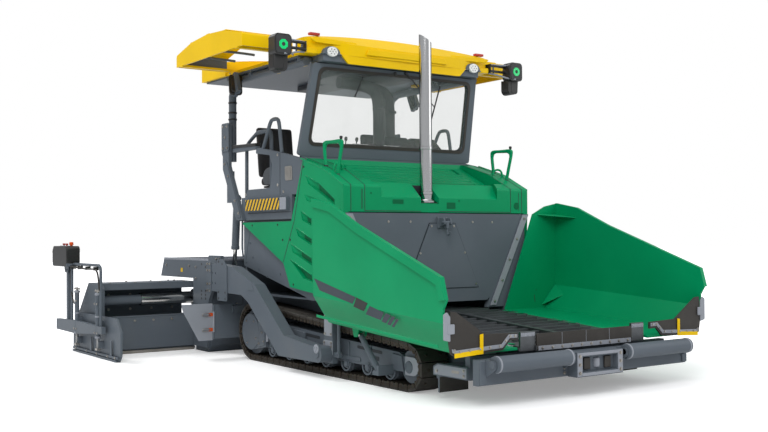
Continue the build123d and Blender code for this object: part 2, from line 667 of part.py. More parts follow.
def roof_posts():
    """Rear legs, the bent tubes that carry the roof, and the mirrors on them."""
    leg = [(1700, 1610), (1860, 1610), (2215, 2230, 60), (2215, 2770), (2055, 2770), (2055, 2260, 60)]
    post = across(leg, LEG_X - LEG_THICK / 2, LEG_X + LEG_THICK / 2)
    post_y = 2135
    tube_x = PLATFORM_X - POST_R - 8
    top = ROOF_BASE_Z - 20 - POST_R
    post += bent_tube([(tube_x, post_y, 2320), (tube_x, post_y, top), (tube_x, SCREEN_HEAD[0] + 60, top)],
                      POST_R, 180)
    post += box((tube_x, PLATFORM_X), (post_y - 30, post_y + 30), (2340, 2740))
    post += rod((LIFT_X - 45, *LIFT_TOP), (PLATFORM_X, *LIFT_TOP), LIFT_PIN_R + 3)
    post += box((PLATFORM_X - 30, PLATFORM_X + 1), (LIFT_TOP[0] - 90, LIFT_TOP[0] + 50),
                (LIFT_TOP[1] - 55, 2200))
    stay = rod((tube_x, 1800, top), (1300, 1800, 3215), 12, TUBE_SIDES)
    mirror = Pos(1300, 1790, 3200) * Rot(-25, 0, 0) * Box(50, 150, 250)
    return both(post + stay + mirror)


def windscreen_frame():
    """Tilted frame round the front glass."""
    height = math.dist(SCREEN_FOOT, SCREEN_HEAD)
    rim = [(-SCREEN_FOOT_X, 0, 30), (SCREEN_FOOT_X, 0, 30), (SCREEN_HEAD_X, height, 30),
           (-SCREEN_HEAD_X, height, 30)]
    plane = screen_plane().offset(-SCREEN_THICK / 2)
    frame = extrude(plane * outline(rim), amount=SCREEN_THICK)
    frame += box((-TUB_X + 30, TUB_X - 30), (SCREEN_FOOT[0] - 20, SCREEN_FOOT[0] + 20),
                 (HOOD_TOP_Z, SCREEN_FOOT[1] + 15))
    frame -= extrude(plane.offset(-1) * outline(glass_corners(height)), amount=SCREEN_THICK + 2)
    return frame


def glass_corners(height):
    """Corners of the front glass in the windscreen's plane."""
    foot = SCREEN_FOOT_X - SCREEN_FRAME
    head = SCREEN_HEAD_X - SCREEN_FRAME + 20
    low = SCREEN_FRAME + 15
    high = height - 45
    return [(-foot, low, 90), (foot, low, 90), (head, high, 90), (-head, high, 90)]


def windscreen_glass():
    """Front glass, seated in the frame's opening."""
    height = math.dist(SCREEN_FOOT, SCREEN_HEAD)
    return extrude(screen_plane().offset(-5) * outline(glass_corners(height)), amount=10)


def crowned(half, y0, y1, low, crown):
    """A block with a crowned top, across the machine between two values of y."""
    eave = crown - ROOF_CROWN_RISE * (half / ROOF_X) ** 2
    arc = Edge.make_three_point_arc(Vector(half, eave), Vector(0, crown), Vector(-half, eave))
    walls = [
        Edge.make_line(Vector(-half, eave), Vector(-half, low)),
        Edge.make_line(Vector(-half, low), Vector(half, low)),
        Edge.make_line(Vector(half, low), Vector(half, eave)),
    ]
    return extrude(Plane.XZ.offset(-y1) * make_face([arc, *walls]), amount=y1 - y0)


def roof():
    """Roof shell: bowed front hump with its lip, rear hump, spine, and low bays for the awnings."""
    bay = (AWNING_FRONT_Y - 10, AWNING_REAR_Y + 10)
    top = ROOF_BASE_Z + ROOF_SKIN
    overlap = 50
    wide = ROOF_X + 20
    shell = box((-ROOF_X, ROOF_X), (bay[0] - overlap, bay[1] + overlap), (ROOF_BASE_Z, top))
    shell += crowned(SPINE_X, bay[0] - overlap, bay[1] + overlap, top + SPINE_SLOT, ROOF_CROWN_Z - 12)
    front = crowned(wide + 30, ROOF_FRONT_Y - 1, bay[0], ROOF_BASE_Z, ROOF_CROWN_Z)
    corner = ROOF_FRONT_Y + ROOF_BOW
    plan = [(-wide, bay[0]), (-wide, corner, 60), (-ROOF_LIP_X, ROOF_FRONT_Y + 20, 300),
            (0, ROOF_FRONT_Y, 900),
            (ROOF_LIP_X, ROOF_FRONT_Y + 20, 300), (wide, corner, 60), (wide, bay[0])]
    front &= upright(plan, ROOF_BASE_Z - 1, ROOF_CROWN_Z + 1)
    slope = [(ROOF_FRONT_Y - 1, ROOF_BASE_Z - 1), (ROOF_FRONT_Y - 1, ROOF_EAVE_Z - 60),
             (bay[0] - 60, ROOF_CROWN_Z + 1),
             (bay[0] + 1, ROOF_CROWN_Z + 1), (bay[0] + 1, ROOF_BASE_Z - 1)]
    shell += front & across(slope, -wide, wide)
    shell += crowned(wide, bay[1], ROOF_REAR_Y, ROOF_BASE_Z, ROOF_CROWN_Z)
    lip = [(-ROOF_LIP_X - 90, ROOF_BASE_Z + 5), (-ROOF_LIP_X, ROOF_BASE_Z - ROOF_LIP_DROP, 30),
           (ROOF_LIP_X, ROOF_BASE_Z - ROOF_LIP_DROP, 30), (ROOF_LIP_X + 90, ROOF_BASE_Z + 5)]
    return shell + along(lip, ROOF_FRONT_Y + 22, ROOF_FRONT_Y + 46)


def awning():
    """Side awning shell, slid out to the left."""
    inner = AWNING_OUT - 600
    low = ROOF_BASE_Z + ROOF_SKIN + 10

    def arch(shrink, foot):
        y0, y1 = AWNING_FRONT_Y + shrink, AWNING_REAR_Y - shrink
        top = ROOF_EAVE_Z + 5 - shrink
        rise = [(y0, foot), (y0, top, 30), (y0 + (y1 - y0) / 4, top + 92, 200),
                ((y0 + y1) / 2, top + 118, 400)]
        fall = [(y1 - (y1 - y0) / 4, top + 92, 200), (y1, top, 30), (y1, foot)]
        return rise + fall

    shell = across(arch(0, low), inner, AWNING_OUT)
    shell -= across(arch(AWNING_SKIN, low - 1), inner - 1, AWNING_OUT - AWNING_SKIN)
    top = ROOF_BASE_Z + ROOF_SKIN
    runner = 60
    for y in (AWNING_FRONT_Y + 100, AWNING_REAR_Y - 100 - runner):
        shell += box((inner - AWNING_TRAVEL - 20, AWNING_OUT - 5), (y, y + runner), (top + SLACK, top + 25))
        shell += box((AWNING_OUT - AWNING_SKIN, AWNING_OUT), (y, y + runner), (top + SLACK, low + 20))
    return shell


def roof_frame():
    """Headlining panel and cross beams under the roof shell."""
    low = ROOF_BASE_Z - 20
    panel = box((-ROOF_X + 20, ROOF_X - 20), (AWNING_FRONT_Y, ROOF_REAR_Y - 60), (low, ROOF_BASE_Z))
    foot = SCREEN_HEAD[1] + 6
    header = across([(200, foot), (200, ROOF_BASE_Z), (AWNING_FRONT_Y, ROOF_BASE_Z),
                     (AWNING_FRONT_Y, foot)],
                    -SCREEN_HEAD_X + 60, SCREEN_HEAD_X - 60)
    return panel + header


def lamp_masts():
    """Work lamps on tube brackets at the roof's front corners."""
    y = ROOF_FRONT_Y + ROOF_BOW
    inner, face = ROOF_X + 20, ROOF_X + 250
    low = ROOF_BASE_Z - 80
    lamp = box((inner, inner + 12), (y - 60, y + 40), (ROOF_BASE_Z + 5, ROOF_BASE_Z + 110))
    lamp += along([(face, low, 45), (face + 200, low, 45), (face + 200, low + 220, 45),
                   (face, low + 220, 45)],
                  y - 150, y - 20)
    lamp += along([(face + 20, low - 160, 60), (face + 150, low - 160, 60), (face + 150, low + 10),
                   (face + 20, low + 10)],
                  y - 100, y + 30)
    for z in (ROOF_BASE_Z + 25, ROOF_BASE_Z + 90):
        lamp += rod((inner + 6, y - 50, z), (face + 20, y - 50, z), 16, TUBE_SIDES)
    return both(lamp)


def exhaust_pipe():
    """Upright exhaust through the hood, its mouth cut at a slant."""
    x, y, r = EXHAUST_X, EXHAUST_Y, EXHAUST_R
    foot = HOOD_FOOT_Z + 100
    sides = 2 * BAR_SIDES
    pipe = rod((x, y, foot), (x, y, EXHAUST_TOP_Z), r, sides)
    pipe -= rod((x, y, EXHAUST_TOP_Z - 560), (x, y, EXHAUST_TOP_Z + 40), r - 6, sides)
    return pipe - Pos(x, y, EXHAUST_TOP_Z + 80) * Rot(-30, 0, 0) * Box(400, 400, 200)


def grab_handles():
    """Green hand loops on the hood's rear corners."""
    x = 1150
    loop = bent_tube([(x, -190, 2030), (x, -290, 2370), (x, 60, 2390), (x, 30, 2120)], 16, 60)
    return both(loop)


# ---------------------------------------------------------------- hopper wings


def hinge_plane(y):
    """Plane square to the wing hinge line, its origin on the line's height at y."""
    run = FLOOR_REAR_Y - FLOOR_FRONT_Y
    fall = FLOOR_REAR_Z - FLOOR_FRONT_Z
    return Plane(origin=(0, y, floor_z(y) - HINGE_DROP), x_dir=(1, 0, 0), z_dir=(0, -run, -fall))


WING_RIM = [(WING_REAR_Y - 18, 1780), (-830, 1720), (-1290, 1520), (-2500, 1080)]


def wing():
    """Left hopper wing: floor, chamfer, side wall with its rim, and rear plate."""
    out = WING_PLATE
    section = [
        (HINGE_X + 24, -out / 2), (WING_FLOOR_OUT + 8, -out / 2), (WING_CHAMFER_OUT + out,
                                                                   WING_CHAMFER_RISE - 7),
        (WING_TOP_OUT + out, 1500), (WING_TOP_OUT, 1500), (WING_CHAMFER_OUT, WING_CHAMFER_RISE),
        (WING_FLOOR_OUT, out / 2), (HINGE_X + 24, out / 2),
    ]
    beyond = 120
    length = WING_REAR_Y - FLOOR_FRONT_Y + 2 * beyond + 200
    shell = extrude(hinge_plane(WING_REAR_Y + beyond) * outline(section), amount=length)
    side = [*WING_RIM, (-2550, 900), (-2500, 820), (-2500, 420), (WING_REAR_Y, 500)]
    shell &= across(side, HINGE_X, WING_TOP_OUT + 60)
    low = floor_z(WING_REAR_Y) - HINGE_DROP
    rear = along([(HINGE_X + 30, low), (WING_FLOOR_OUT, low),
                  (WING_CHAMFER_OUT + 5, low + WING_CHAMFER_RISE),
                  (WING_TOP_OUT + 5, 1775), (1450, 1740), (1262,
                                                           REAR_WALL_TOP_Z)], WING_REAR_Y - 18, WING_REAR_Y)
    shell += rear
    rim = [*WING_RIM, (-2550, 900), (-2480, 890), (-2440, 1020), (-1275, 1445), (-820, 1645),
           (WING_REAR_Y - 18, 1700)]
    shell += across(rim, WING_TOP_OUT, WING_TOP_OUT + out + 14) & across(side, HINGE_X, WING_TOP_OUT + 60)
    for first, last in hinge_spans()[1::2]:
        leaf = leaf_outline(first, last, 8, 8)
        shell += across(leaf, HINGE_X, HINGE_X + 30) + knuckle(first, last)
    return shell + wing_lugs()


def wing_lugs():
    """Two plates under the wing that hold its cylinder's rod."""
    x, y, z = TILT_EYE
    under = floor_z(y) - HINGE_DROP - WING_PLATE / 2
    plate = [(y - 60, under + 3), (y + 60, under + 3), (y + 30, z - 32, 24), (y - 30, z - 32, 24)]
    lug = across(plate, x - LUG_SPREAD, x - LUG_SPREAD + 12)
    return lug + across(plate, x + LUG_SPREAD - 12, x + LUG_SPREAD)


def wing_flap():
    """Rubber flap across the front of a wing."""
    inner = HINGE_X + 34
    flap = [(inner, 528), (925, 532), (1004, 454), (1509, 432), (1560, 460), (1580, 574), (1563, 800),
            (1505, 795), (1200, FLAP_TOP_Z + 10), (inner, FLAP_TOP_Z)]
    return along(flap, -2519, -2500)


def front_apron():
    """Centre flap at the hopper's mouth, hinged along its lower edge."""
    low = APRON_HINGE_Z
    plate = along([(-APRON_X, low - 5), (APRON_X, low - 5), (APRON_X, low + 131, 15),
                   (-APRON_X, low + 131, 15)],
                  FLOOR_FRONT_Y - 34, FLOOR_FRONT_Y - 18)
    return plate + rod((-APRON_X, FLOOR_FRONT_Y - 22, low), (APRON_X, FLOOR_FRONT_Y - 22, low), 14)


# ---------------------------------------------------------------- push bar


def push_bar():
    """Beam that pushes the truck, swivelling on one upright pin."""
    profile = [(PUSH_BAR_FRONT_Y, PUSH_BAR_LOW_Z, 20), (PUSH_BAR_FRONT_Y, PUSH_BAR_TOP_Z, 20),
               (PUSH_BAR_REAR_Y, PUSH_BAR_TOP_Z), (PUSH_BAR_REAR_Y, PUSH_BAR_LOW_Z)]
    bar = across(profile, -PUSH_BAR_X, PUSH_BAR_X)
    nose = box((-290, 290), (PUSH_BAR_FRONT_Y - 110, PUSH_BAR_FRONT_Y), (PUSH_BAR_LOW_Z, PUSH_BAR_TOP_Z))
    nose -= box((-220, 220), (PUSH_BAR_FRONT_Y - 120, PUSH_BAR_FRONT_Y - 60), (220, 355))
    bar += nose
    lug = upright([(-60, PUSH_BAR_REAR_Y - 10), (60, PUSH_BAR_REAR_Y - 10), (40, PUSH_PIVOT_Y + 40, 30),
                   (-40, PUSH_PIVOT_Y + 40, 30)], 271, 299)
    bar += lug - rod((0, PUSH_PIVOT_Y, 260), (0, PUSH_PIVOT_Y, 310), 25)
    for x in (PUSH_ROLLER_IN - 22, PUSH_ROLLER_OUT + 6):
        ear = across([(PUSH_BAR_FRONT_Y, 250), (PUSH_BAR_FRONT_Y, PUSH_BAR_TOP_Z),
                      (PUSH_ROLLER_Y - 35, PUSH_ROLLER_Z + 35, 30),
                      (PUSH_ROLLER_Y - 35, PUSH_ROLLER_Z - 35, 30)], x, x + 16)
        bar += both(ear)
    return bar


def push_roller():
    """One truck wheel roller on its own axle."""
    roller = rod((PUSH_ROLLER_IN, PUSH_ROLLER_Y, PUSH_ROLLER_Z),
                 (PUSH_ROLLER_OUT, PUSH_ROLLER_Y, PUSH_ROLLER_Z), PUSH_ROLLER_R)
    axle_in, axle_out = PUSH_ROLLER_IN - 6 + SLACK, PUSH_ROLLER_OUT + 6 - SLACK
    return roller + rod((axle_in, PUSH_ROLLER_Y, PUSH_ROLLER_Z), (axle_out, PUSH_ROLLER_Y, PUSH_ROLLER_Z),
                        22)


# ---------------------------------------------------------------- tow arms, auger, screed


def tow_guides():
    """Upright guides at the tow points with their levelling cylinders."""
    top = TUB_FLOOR_Z + 72
    plate = box((1265, ARM_IN_X - 5), (-360, -200), (150, top))
    plate += box((TUB_X, 1265), (-360, -200), (TUB_FLOOR_Z + 5, top))
    plate += rod((1300, TOW_Y, TOW_Z), (ARM_IN_X + ARM_THICK + 8, TOW_Y, TOW_Z), TOW_PIN_R - 1)
    cylinder = rod((1295, -430, 560), (1295, -430, top - 10), 36, BAR_SIDES)
    cylinder += rod((1295, -430, 230), (1295, -430, 600), 18, TUBE_SIDES)
    cylinder += box((TUB_X, 1330), (-470, -360), (top - 50, top)) + box((1275, 1315), (-455, -360),
                                                                        (215, 265))
    return both(plate + cylinder)


def tow_arms():
    """Thick plate arms from the tow points back over the final drives to the screed."""
    outer = ARM_IN_X + ARM_THICK
    profile = [(TOW_Y - 80, TOW_Z - 80, 70), (TOW_Y - 80, TOW_Z + 80, 70), (-140, 325), (380, 380),
               (1030, 890, 60), (1570, 1070, 80),
               (2230, 1110, 30), (2230, 780), (1350, 760, 60), (1190, 690, 60), (500, 160, 40)]
    arm = across(profile, ARM_IN_X, outer) - rod((ARM_IN_X - 1, TOW_Y, TOW_Z), (outer + 1, TOW_Y, TOW_Z),
                                                 TOW_PIN_R)
    for y in (BOLT_MIDDLE[0] - BOLT_SPACING[0] / 2, BOLT_MIDDLE[0] + BOLT_SPACING[0] / 2):
        for z in (BOLT_MIDDLE[1] - BOLT_SPACING[1] / 2, BOLT_MIDDLE[1] + BOLT_SPACING[1] / 2):
            arm -= rod((ARM_IN_X - 1, y, z), (outer + 1, y, z), BOLT_R)
    arm += rod((LIFT_X - 50, *LIFT_EYE), (ARM_IN_X, *LIFT_EYE), LIFT_PIN_R)
    arm += box((LIFT_X + 60, ARM_IN_X), (LIFT_EYE[0] - 60, LIFT_EYE[0] + 10),
               (LIFT_EYE[1] - 50, LIFT_EYE[1] + 10))
    return both(arm)


def screed_body():
    """Basic screed box with its sole plate, end plates and tube saddles."""
    profile = [(SCREED_FRONT_Y, 90), (SCREED_FRONT_Y, SCREED_TOP_Z), (SCREED_BOX_REAR_Y, SCREED_TOP_Z),
               (SCREED_BOX_REAR_Y, 0), (SCREED_FRONT_Y + 80, 0)]
    body = across(profile, -SCREED_X, SCREED_X)
    end = [(2130, 1010), (2130, 1190, 20), (2470, 1190), (SCREED_FRONT_Y, SCREED_TOP_Z + DECK_THICK),
           (SCREED_BOX_REAR_Y, SCREED_TOP_Z + DECK_THICK),
           (SCREED_BOX_REAR_Y, 60), (SCREED_FRONT_Y + 40, 60), (SCREED_FRONT_Y, 620), (2290, 900)]
    body += both(across(end, SCREED_X, SCREED_X + SIDE_PLATE))
    outer = TUBE_END_X - 45
    for x in (-outer, -outer / 2, 0, outer / 2, outer):
        saddle = across([(SCREED_BOX_REAR_Y, 560), (TUBE_Y, 560), (TUBE_Y, 740),
                         (SCREED_BOX_REAR_Y, 740)], x - 30, x + 30)
        body += saddle
    body += rod((-TUBE_END_X, TUBE_Y, TUBE_Z), (TUBE_END_X, TUBE_Y, TUBE_Z), TUBE_OUTER_R)
    body -= rod((-SCREED_X - 5, TUBE_Y, TUBE_Z), (-20, TUBE_Y, TUBE_Z), TUBE_MIDDLE_R + TUBE_GAP)
    body -= rod((SCREED_X + 5, TUBE_Y, TUBE_Z), (20, TUBE_Y, TUBE_Z), TUBE_MIDDLE_R + TUBE_GAP)
    return body


def screed_deck():
    """Walkway over the screed with its side skirts and lower rear step."""
    top = SCREED_TOP_Z + DECK_THICK
    deck = box((-SCREED_X, SCREED_X), (SCREED_FRONT_Y, DECK_REAR_Y), (SCREED_TOP_Z, top))
    skirt = [(SCREED_BOX_REAR_Y, 900), (SCREED_BOX_REAR_Y, top), (DECK_REAR_Y, top),
             (DECK_REAR_Y + 100, 900)]
    deck += both(across(skirt, SCREED_X, SCREED_X + SIDE_PLATE))
    return deck


def extension():
    """Screed extension, left hand: box, shield over the tube, end web and inner tube stage."""
    inner = EXTENSION_OUT - EXTENSION_TRAVEL - 25
    low = [(EXTENSION_FRONT_Y, 60), (EXTENSION_FRONT_Y, EXTENSION_BOX_Z),
           (EXTENSION_REAR_Y - 250, EXTENSION_BOX_Z),
           (EXTENSION_REAR_Y, EXTENSION_BOX_Z - 60), (EXTENSION_REAR_Y, 0), (EXTENSION_FRONT_Y + 60, 0)]
    piece = across(low, inner, EXTENSION_OUT)
    web_y = TUBE_Y + TUBE_OUTER_R + 150
    piece += box((inner, EXTENSION_OUT), (web_y, web_y + 30), (EXTENSION_BOX_Z, EXTENSION_SHIELD_Z))
    piece += box((inner, EXTENSION_OUT), (EXTENSION_FRONT_Y + 40, web_y + 30),
                 (EXTENSION_SHIELD_Z - 80, EXTENSION_SHIELD_Z))
    end = [(EXTENSION_FRONT_Y, 60), (EXTENSION_FRONT_Y, 800),
           (EXTENSION_FRONT_Y + 60, EXTENSION_SHIELD_Z), (web_y + 30, EXTENSION_SHIELD_Z),
           (EXTENSION_REAR_Y, 500), (EXTENSION_REAR_Y, 60)]
    piece += across(end, EXTENSION_OUT - 45, EXTENSION_OUT)
    piece += rod((EXTENSION_OUT - 1240, TUBE_Y, TUBE_Z), (EXTENSION_OUT - 20, TUBE_Y, TUBE_Z), TUBE_INNER_R)
    return piece


def tube_stage():
    """Middle stage of the telescoping tube, left hand."""
    stage = rod((STAGE_IN_X, TUBE_Y, TUBE_Z), (STAGE_OUT_X, TUBE_Y, TUBE_Z), TUBE_MIDDLE_R)
    return stage - rod((STAGE_IN_X - 1, TUBE_Y, TUBE_Z), (STAGE_OUT_X + 1, TUBE_Y, TUBE_Z),
                       TUBE_INNER_R + TUBE_GAP)


def end_gate():
    """End gate at the extension's outer end, with skid, spindles, beam and guard rail."""
    out, front, rear = GATE_X, GATE_FRONT_Y, GATE_REAR_Y
    profile = [(front, 60, 50), (front, 350), (front + 130, 490, 20), (rear - 250, 490, 40),
               (rear, 240, 40),
               (rear, 60, 50), (rear - 70, 0), (front + 70, 0)]
    gate = across(profile, out - 25, out) + box((out, out + 30), (front + 70, rear - 70), (0, 25))
    for y in (EXTENSION_FRONT_Y + 60, EXTENSION_REAR_Y - 120):
        gate += box((EXTENSION_OUT, out - 25), (y, y + 60), (90, 400))
    gate += across([(front + 380, 300), (front + 380, 380), (rear - 310, 400), (rear + 420, 380),
                    (rear + 420, 245),
                    (rear - 310, 240)], out + 35, out + 85)
    spindle_x = out + 60
    for y in (front + 570, rear - 320):
        gate += rod((spindle_x, y, 240), (spindle_x, y, 760), 28, BAR_SIDES)
        gate += rod((spindle_x, y, 120), (spindle_x, y, 240), 17, TUBE_SIDES)
        gate += box((out, spindle_x), (y - 30, y + 30), (120, 200))
        gate += box((out, spindle_x), (y - 25, y + 25), (380, 440))
    rail = bent_tube([(spindle_x, front + 470, 360), (spindle_x, front + 470, 1090),
                      (spindle_x, rear - 130, 1090),
                      (spindle_x, rear - 130, 360)], 17, 70)
    return gate + rail + control_box()


def control_box():
    """Outside control station on its stand above the end gate's beam."""
    x, rear = GATE_X + 60, GATE_REAR_Y
    stand = box((x - 20, x + 20), (rear - 30, rear + 30), (360, 1090))
    case = [(rear - 190, 1060), (rear - 170, 1300, 30), (rear + 370, 1230, 30), (rear + 370, 1060, 30)]
    return stand + across(case, x - 75, x + 90)


def lift_barrels():
    """Barrels of the screed's lift cylinders, hung from the rear legs."""
    top, eye = Vector(LIFT_X, *LIFT_TOP), Vector(LIFT_X, *LIFT_EYE)
    aim = (eye - top).normalized()
    mouth = top + aim * LIFT_BARREL_LENGTH
    barrel = rod(tuple(top + aim * 40), tuple(mouth), LIFT_BARREL_R, BAR_SIDES)
    barrel += rod((LIFT_X - 28, *LIFT_TOP), (LIFT_X + 14, *LIFT_TOP), 42)
    barrel -= rod((LIFT_X - 60, *LIFT_TOP), (LIFT_X + 60, *LIFT_TOP), LIFT_PIN_R + 4)
    return both(barrel - rod(tuple(mouth - aim * 520), tuple(mouth + aim), LIFT_ROD_R + 1, BAR_SIDES))


def lift_rods():
    """Rods of the lift cylinders, their eyes round the tow arms' pins."""
    top, eye = Vector(LIFT_X, *LIFT_TOP), Vector(LIFT_X, *LIFT_EYE)
    aim = (eye - top).normalized()
    bar = rod(tuple(top + aim * 440), tuple(eye - aim * 30), LIFT_ROD_R, BAR_SIDES)
    bar += rod((LIFT_X - 30, *LIFT_EYE), (LIFT_X + 30, *LIFT_EYE), LIFT_EYE_BORE + 14)
    return both(bar - rod((LIFT_X - 60, *LIFT_EYE), (LIFT_X + 60, *LIFT_EYE), LIFT_EYE_BORE))


def wing_barrel():
    """Barrel of the left wing's cylinder, on its ball."""
    foot, eye = Vector(*TILT_FOOT), Vector(*TILT_EYE)
    aim = (eye - foot).normalized()
    steps = 6
    arc = [(math.pi * index / steps - math.pi / 2) for index in range(steps + 1)]
    half_ball = Polyline(*[(TILT_BALL_R * math.cos(a), TILT_BALL_R * math.sin(a)) for a in arc], close=True)
    barrel = Pos(*TILT_FOOT) * revolve(Plane.XZ * make_face(half_ball), Axis.Z)
    barrel += rod(TILT_FOOT, tuple(foot + aim * TILT_BARREL_LENGTH), TILT_BARREL_R, BAR_SIDES)
    mouth = tuple(foot + aim * (TILT_BARREL_LENGTH + 1))
    return barrel - rod(tuple(foot + aim * 36), mouth, TILT_ROD_R + 1, BAR_SIDES)


def wing_rod():
    """Rod of the left wing's cylinder, its eye between the wing's lugs."""
    foot, eye = Vector(*TILT_FOOT), Vector(*TILT_EYE)
    aim = (eye - foot).normalized()
    bar = rod(tuple(foot + aim * 40), tuple(eye), TILT_ROD_R, BAR_SIDES)
    x, y, z = TILT_EYE
    return bar + rod((x - 15, y, z), (x + 15, y, z), 27)


def auger_carrier():
    """Auger gearbox on the rear cross beam, with the inner tunnel plates."""
    beam = box((-FRAME_X, FRAME_X), (FRAME_REAR_Y, FRAME_REAR_Y + 40), (FLOOR_REAR_Z - 300, 740))
    beam -= box((-620, 620), (FRAME_REAR_Y - 1, FRAME_REAR_Y + 41), (FLOOR_REAR_Z - 20, 735))
    case = rod((-AUGER_IN + 6, AUGER_Y, AUGER_Z), (AUGER_IN - 6, AUGER_Y, AUGER_Z), 110, 2 * BAR_SIDES)
    case += box((-80, 80), (FRAME_REAR_Y + 40, AUGER_Y), (AUGER_Z - 60, AUGER_Z + 60))
    plate = box((FRAME_X, 1470), (TUNNEL_Y - 12, TUNNEL_Y), (220, 620))
    for low, top in ((220, TUNNEL_PIN_LOW), (TUNNEL_PIN_TOP, 620)):
        plate += rod((TUNNEL_HINGE_X, TUNNEL_Y - 6, low), (TUNNEL_HINGE_X, TUNNEL_Y - 6, top), 14)
        plate += box((1470, TUNNEL_HINGE_X), (TUNNEL_Y - 12, TUNNEL_Y), (low, top))
    arm = box((FRAME_X - 60, 1260), (FRAME_REAR_Y, TUNNEL_Y - 12), (520, 600))
    return beam + case + both(plate + arm)


def auger():
    """Left auger: a shaft with a helical flight."""
    shaft = rod((AUGER_IN - 6 + SLACK, AUGER_Y, AUGER_Z), (AUGER_IN + 5, AUGER_Y, AUGER_Z), AUGER_SHAFT_R)
    shaft += rod((AUGER_IN, AUGER_Y, AUGER_Z), (AUGER_OUT, AUGER_Y, AUGER_Z), AUGER_SHAFT_R - 1, TUBE_SIDES)
    steps = 12
    turns = (AUGER_OUT - AUGER_IN - 40) / AUGER_PITCH
    blade_depth = AUGER_R - AUGER_SHAFT_R + 10
    lean = math.degrees(math.atan2(AUGER_PITCH, 2 * math.pi * AUGER_R * 0.6))
    width = 2 * math.pi * AUGER_R / steps
    for index in range(int(turns * steps)):
        angle = 360 * index / steps
        x = AUGER_IN + 20 + index * AUGER_PITCH / steps
        blade = Pos(0, 0, AUGER_SHAFT_R - 10 + blade_depth / 2) * Rot(0, 0, 90 - lean) * Box(width, 12,
                                                                                             blade_depth)
        shaft += Pos(x, AUGER_Y, AUGER_Z) * Rot(angle, 0, 0) * blade
    return shaft


def tunnel_plate():
    """Outer auger tunnel plate, hinged on an upright pin."""
    y = TUNNEL_Y - 6
    plate = along([(TUNNEL_HINGE_X + 17, 205), (1680, 205), (1880, 560), (1895, 635),
                   (TUNNEL_HINGE_X + 17, 635)],
                  TUNNEL_Y - 12, TUNNEL_Y)
    plate += box((TUNNEL_HINGE_X, TUNNEL_HINGE_X + 20), (TUNNEL_Y - 12, TUNNEL_Y),
                 (TUNNEL_PIN_LOW + 4, TUNNEL_PIN_TOP - 4))
    return plate + rod((TUNNEL_HINGE_X, y, TUNNEL_PIN_LOW + SLACK),
                       (TUNNEL_HINGE_X, y, TUNNEL_PIN_TOP - SLACK), 14)


# ---------------------------------------------------------------- writing

PIECES = [
    main_frame, track_frames, tilt_feet, hopper_floor, hopper_rear_wall, tractor_body, engine_block, hood,
    side_panels, platform, platform_sides, seats, console, roof_posts, windscreen_frame, windscreen_glass, roof,
    roof_frame, lamp_masts, exhaust_pipe, front_apron, push_bar, tow_guides, tow_arms, screed_body, screed_deck,
    auger_carrier, lift_barrels, lift_rods,
]

HANDED_PIECES = [
    track, awning, wing, wing_flap, wing_barrel, wing_rod, push_roller, auger, tunnel_plate,
    extension, tube_stage, end_gate,
]


def save(name, solid):
    """Write one piece in the kept frame."""
    export_step(Pos(0, -MIDDLE_Y, 0) * solid, f"parts/{name}.step")


def main():
    os.makedirs("parts", exist_ok=True)
    for build in PIECES:
        save(build.__name__, build())
    for build in HANDED_PIECES:
        left = build()
        save(f"{build.__name__}_left", left)
        save(f"{build.__name__}_right", twin(left))


if __name__ == "__main__":
    main()
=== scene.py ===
"""Looks of the tracked asphalt paver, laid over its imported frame."""

import math

import bmesh
import bpy
from bpy.props import FloatProperty, FloatVectorProperty, IntProperty, PointerProperty
from mathutils import Matrix, Vector


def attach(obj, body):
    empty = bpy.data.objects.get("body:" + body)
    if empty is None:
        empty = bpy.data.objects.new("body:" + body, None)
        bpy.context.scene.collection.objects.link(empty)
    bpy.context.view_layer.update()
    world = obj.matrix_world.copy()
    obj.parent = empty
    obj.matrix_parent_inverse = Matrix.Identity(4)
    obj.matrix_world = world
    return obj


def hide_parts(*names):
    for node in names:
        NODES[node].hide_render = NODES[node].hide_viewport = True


bl_info = {
    "name": "Tracked asphalt paver",
    "version": (1, 0, 0),
    "blender": (4, 5, 0),
    "location": "3D View > Sidebar > Paver",
    "description": "Dresses the packed asphalt paver with its finishes, fittings and stage",
    "category": "Object",
}

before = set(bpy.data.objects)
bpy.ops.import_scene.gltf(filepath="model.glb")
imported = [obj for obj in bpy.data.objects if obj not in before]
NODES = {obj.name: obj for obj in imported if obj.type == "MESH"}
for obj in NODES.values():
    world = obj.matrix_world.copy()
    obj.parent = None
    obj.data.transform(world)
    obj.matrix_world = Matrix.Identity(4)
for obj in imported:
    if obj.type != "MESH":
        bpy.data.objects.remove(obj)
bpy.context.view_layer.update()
MIDDLE = 0.756              # the frame's origin lies this far behind the middle of the tracks
SIDES = (("left", 1), ("right", -1))
MIDDLE_BODIES = ("chassis", "screed", "push_bar")   # the other bodies come as a left and a right one

# The track's outer line, in millimetres from the middle of the tracks.
IDLER_Y, IDLER_R = -1500.0, 225.0
SPROCKET_Y, SPROCKET_R = 1500.0, 330.0
LOOP_SPACING = SPROCKET_Y - IDLER_Y
LOOP_LEAN = 2 * math.atan2(SPROCKET_R - IDLER_R, LOOP_SPACING)

# The hopper floor's rear edge and its slope, and how far a wing's outer face leans out over its height.
FLOOR_REAR_Y, FLOOR_REAR_Z, FLOOR_SLOPE = -450, 600, 135 / 2020
WING_X, WING_LEAN, WING_FOOT, WING_HEIGHT = 1625, 15, 255, 1245

CAMERA_PLACE = (-6650, -8840, 1410)
FLOOR_REACH = 90            # metres each way
LAMP_AIM = Vector((0, 0, 1.2))
LAMPS = (                   # name, place, size, power
    ("key", (-8.0, -9.0, 10.0), 7.0, 760.0),
    ("fill", (9.0, -8.0, 7.0), 8.0, 320.0),
    ("rim", (-6.0, 9.0, 12.0), 3.0, 780.0),
    ("top", (0.0, 0.0, 12.0), 9.0, 240.0),
)


# ------------------------------------------------------------------ shader maths


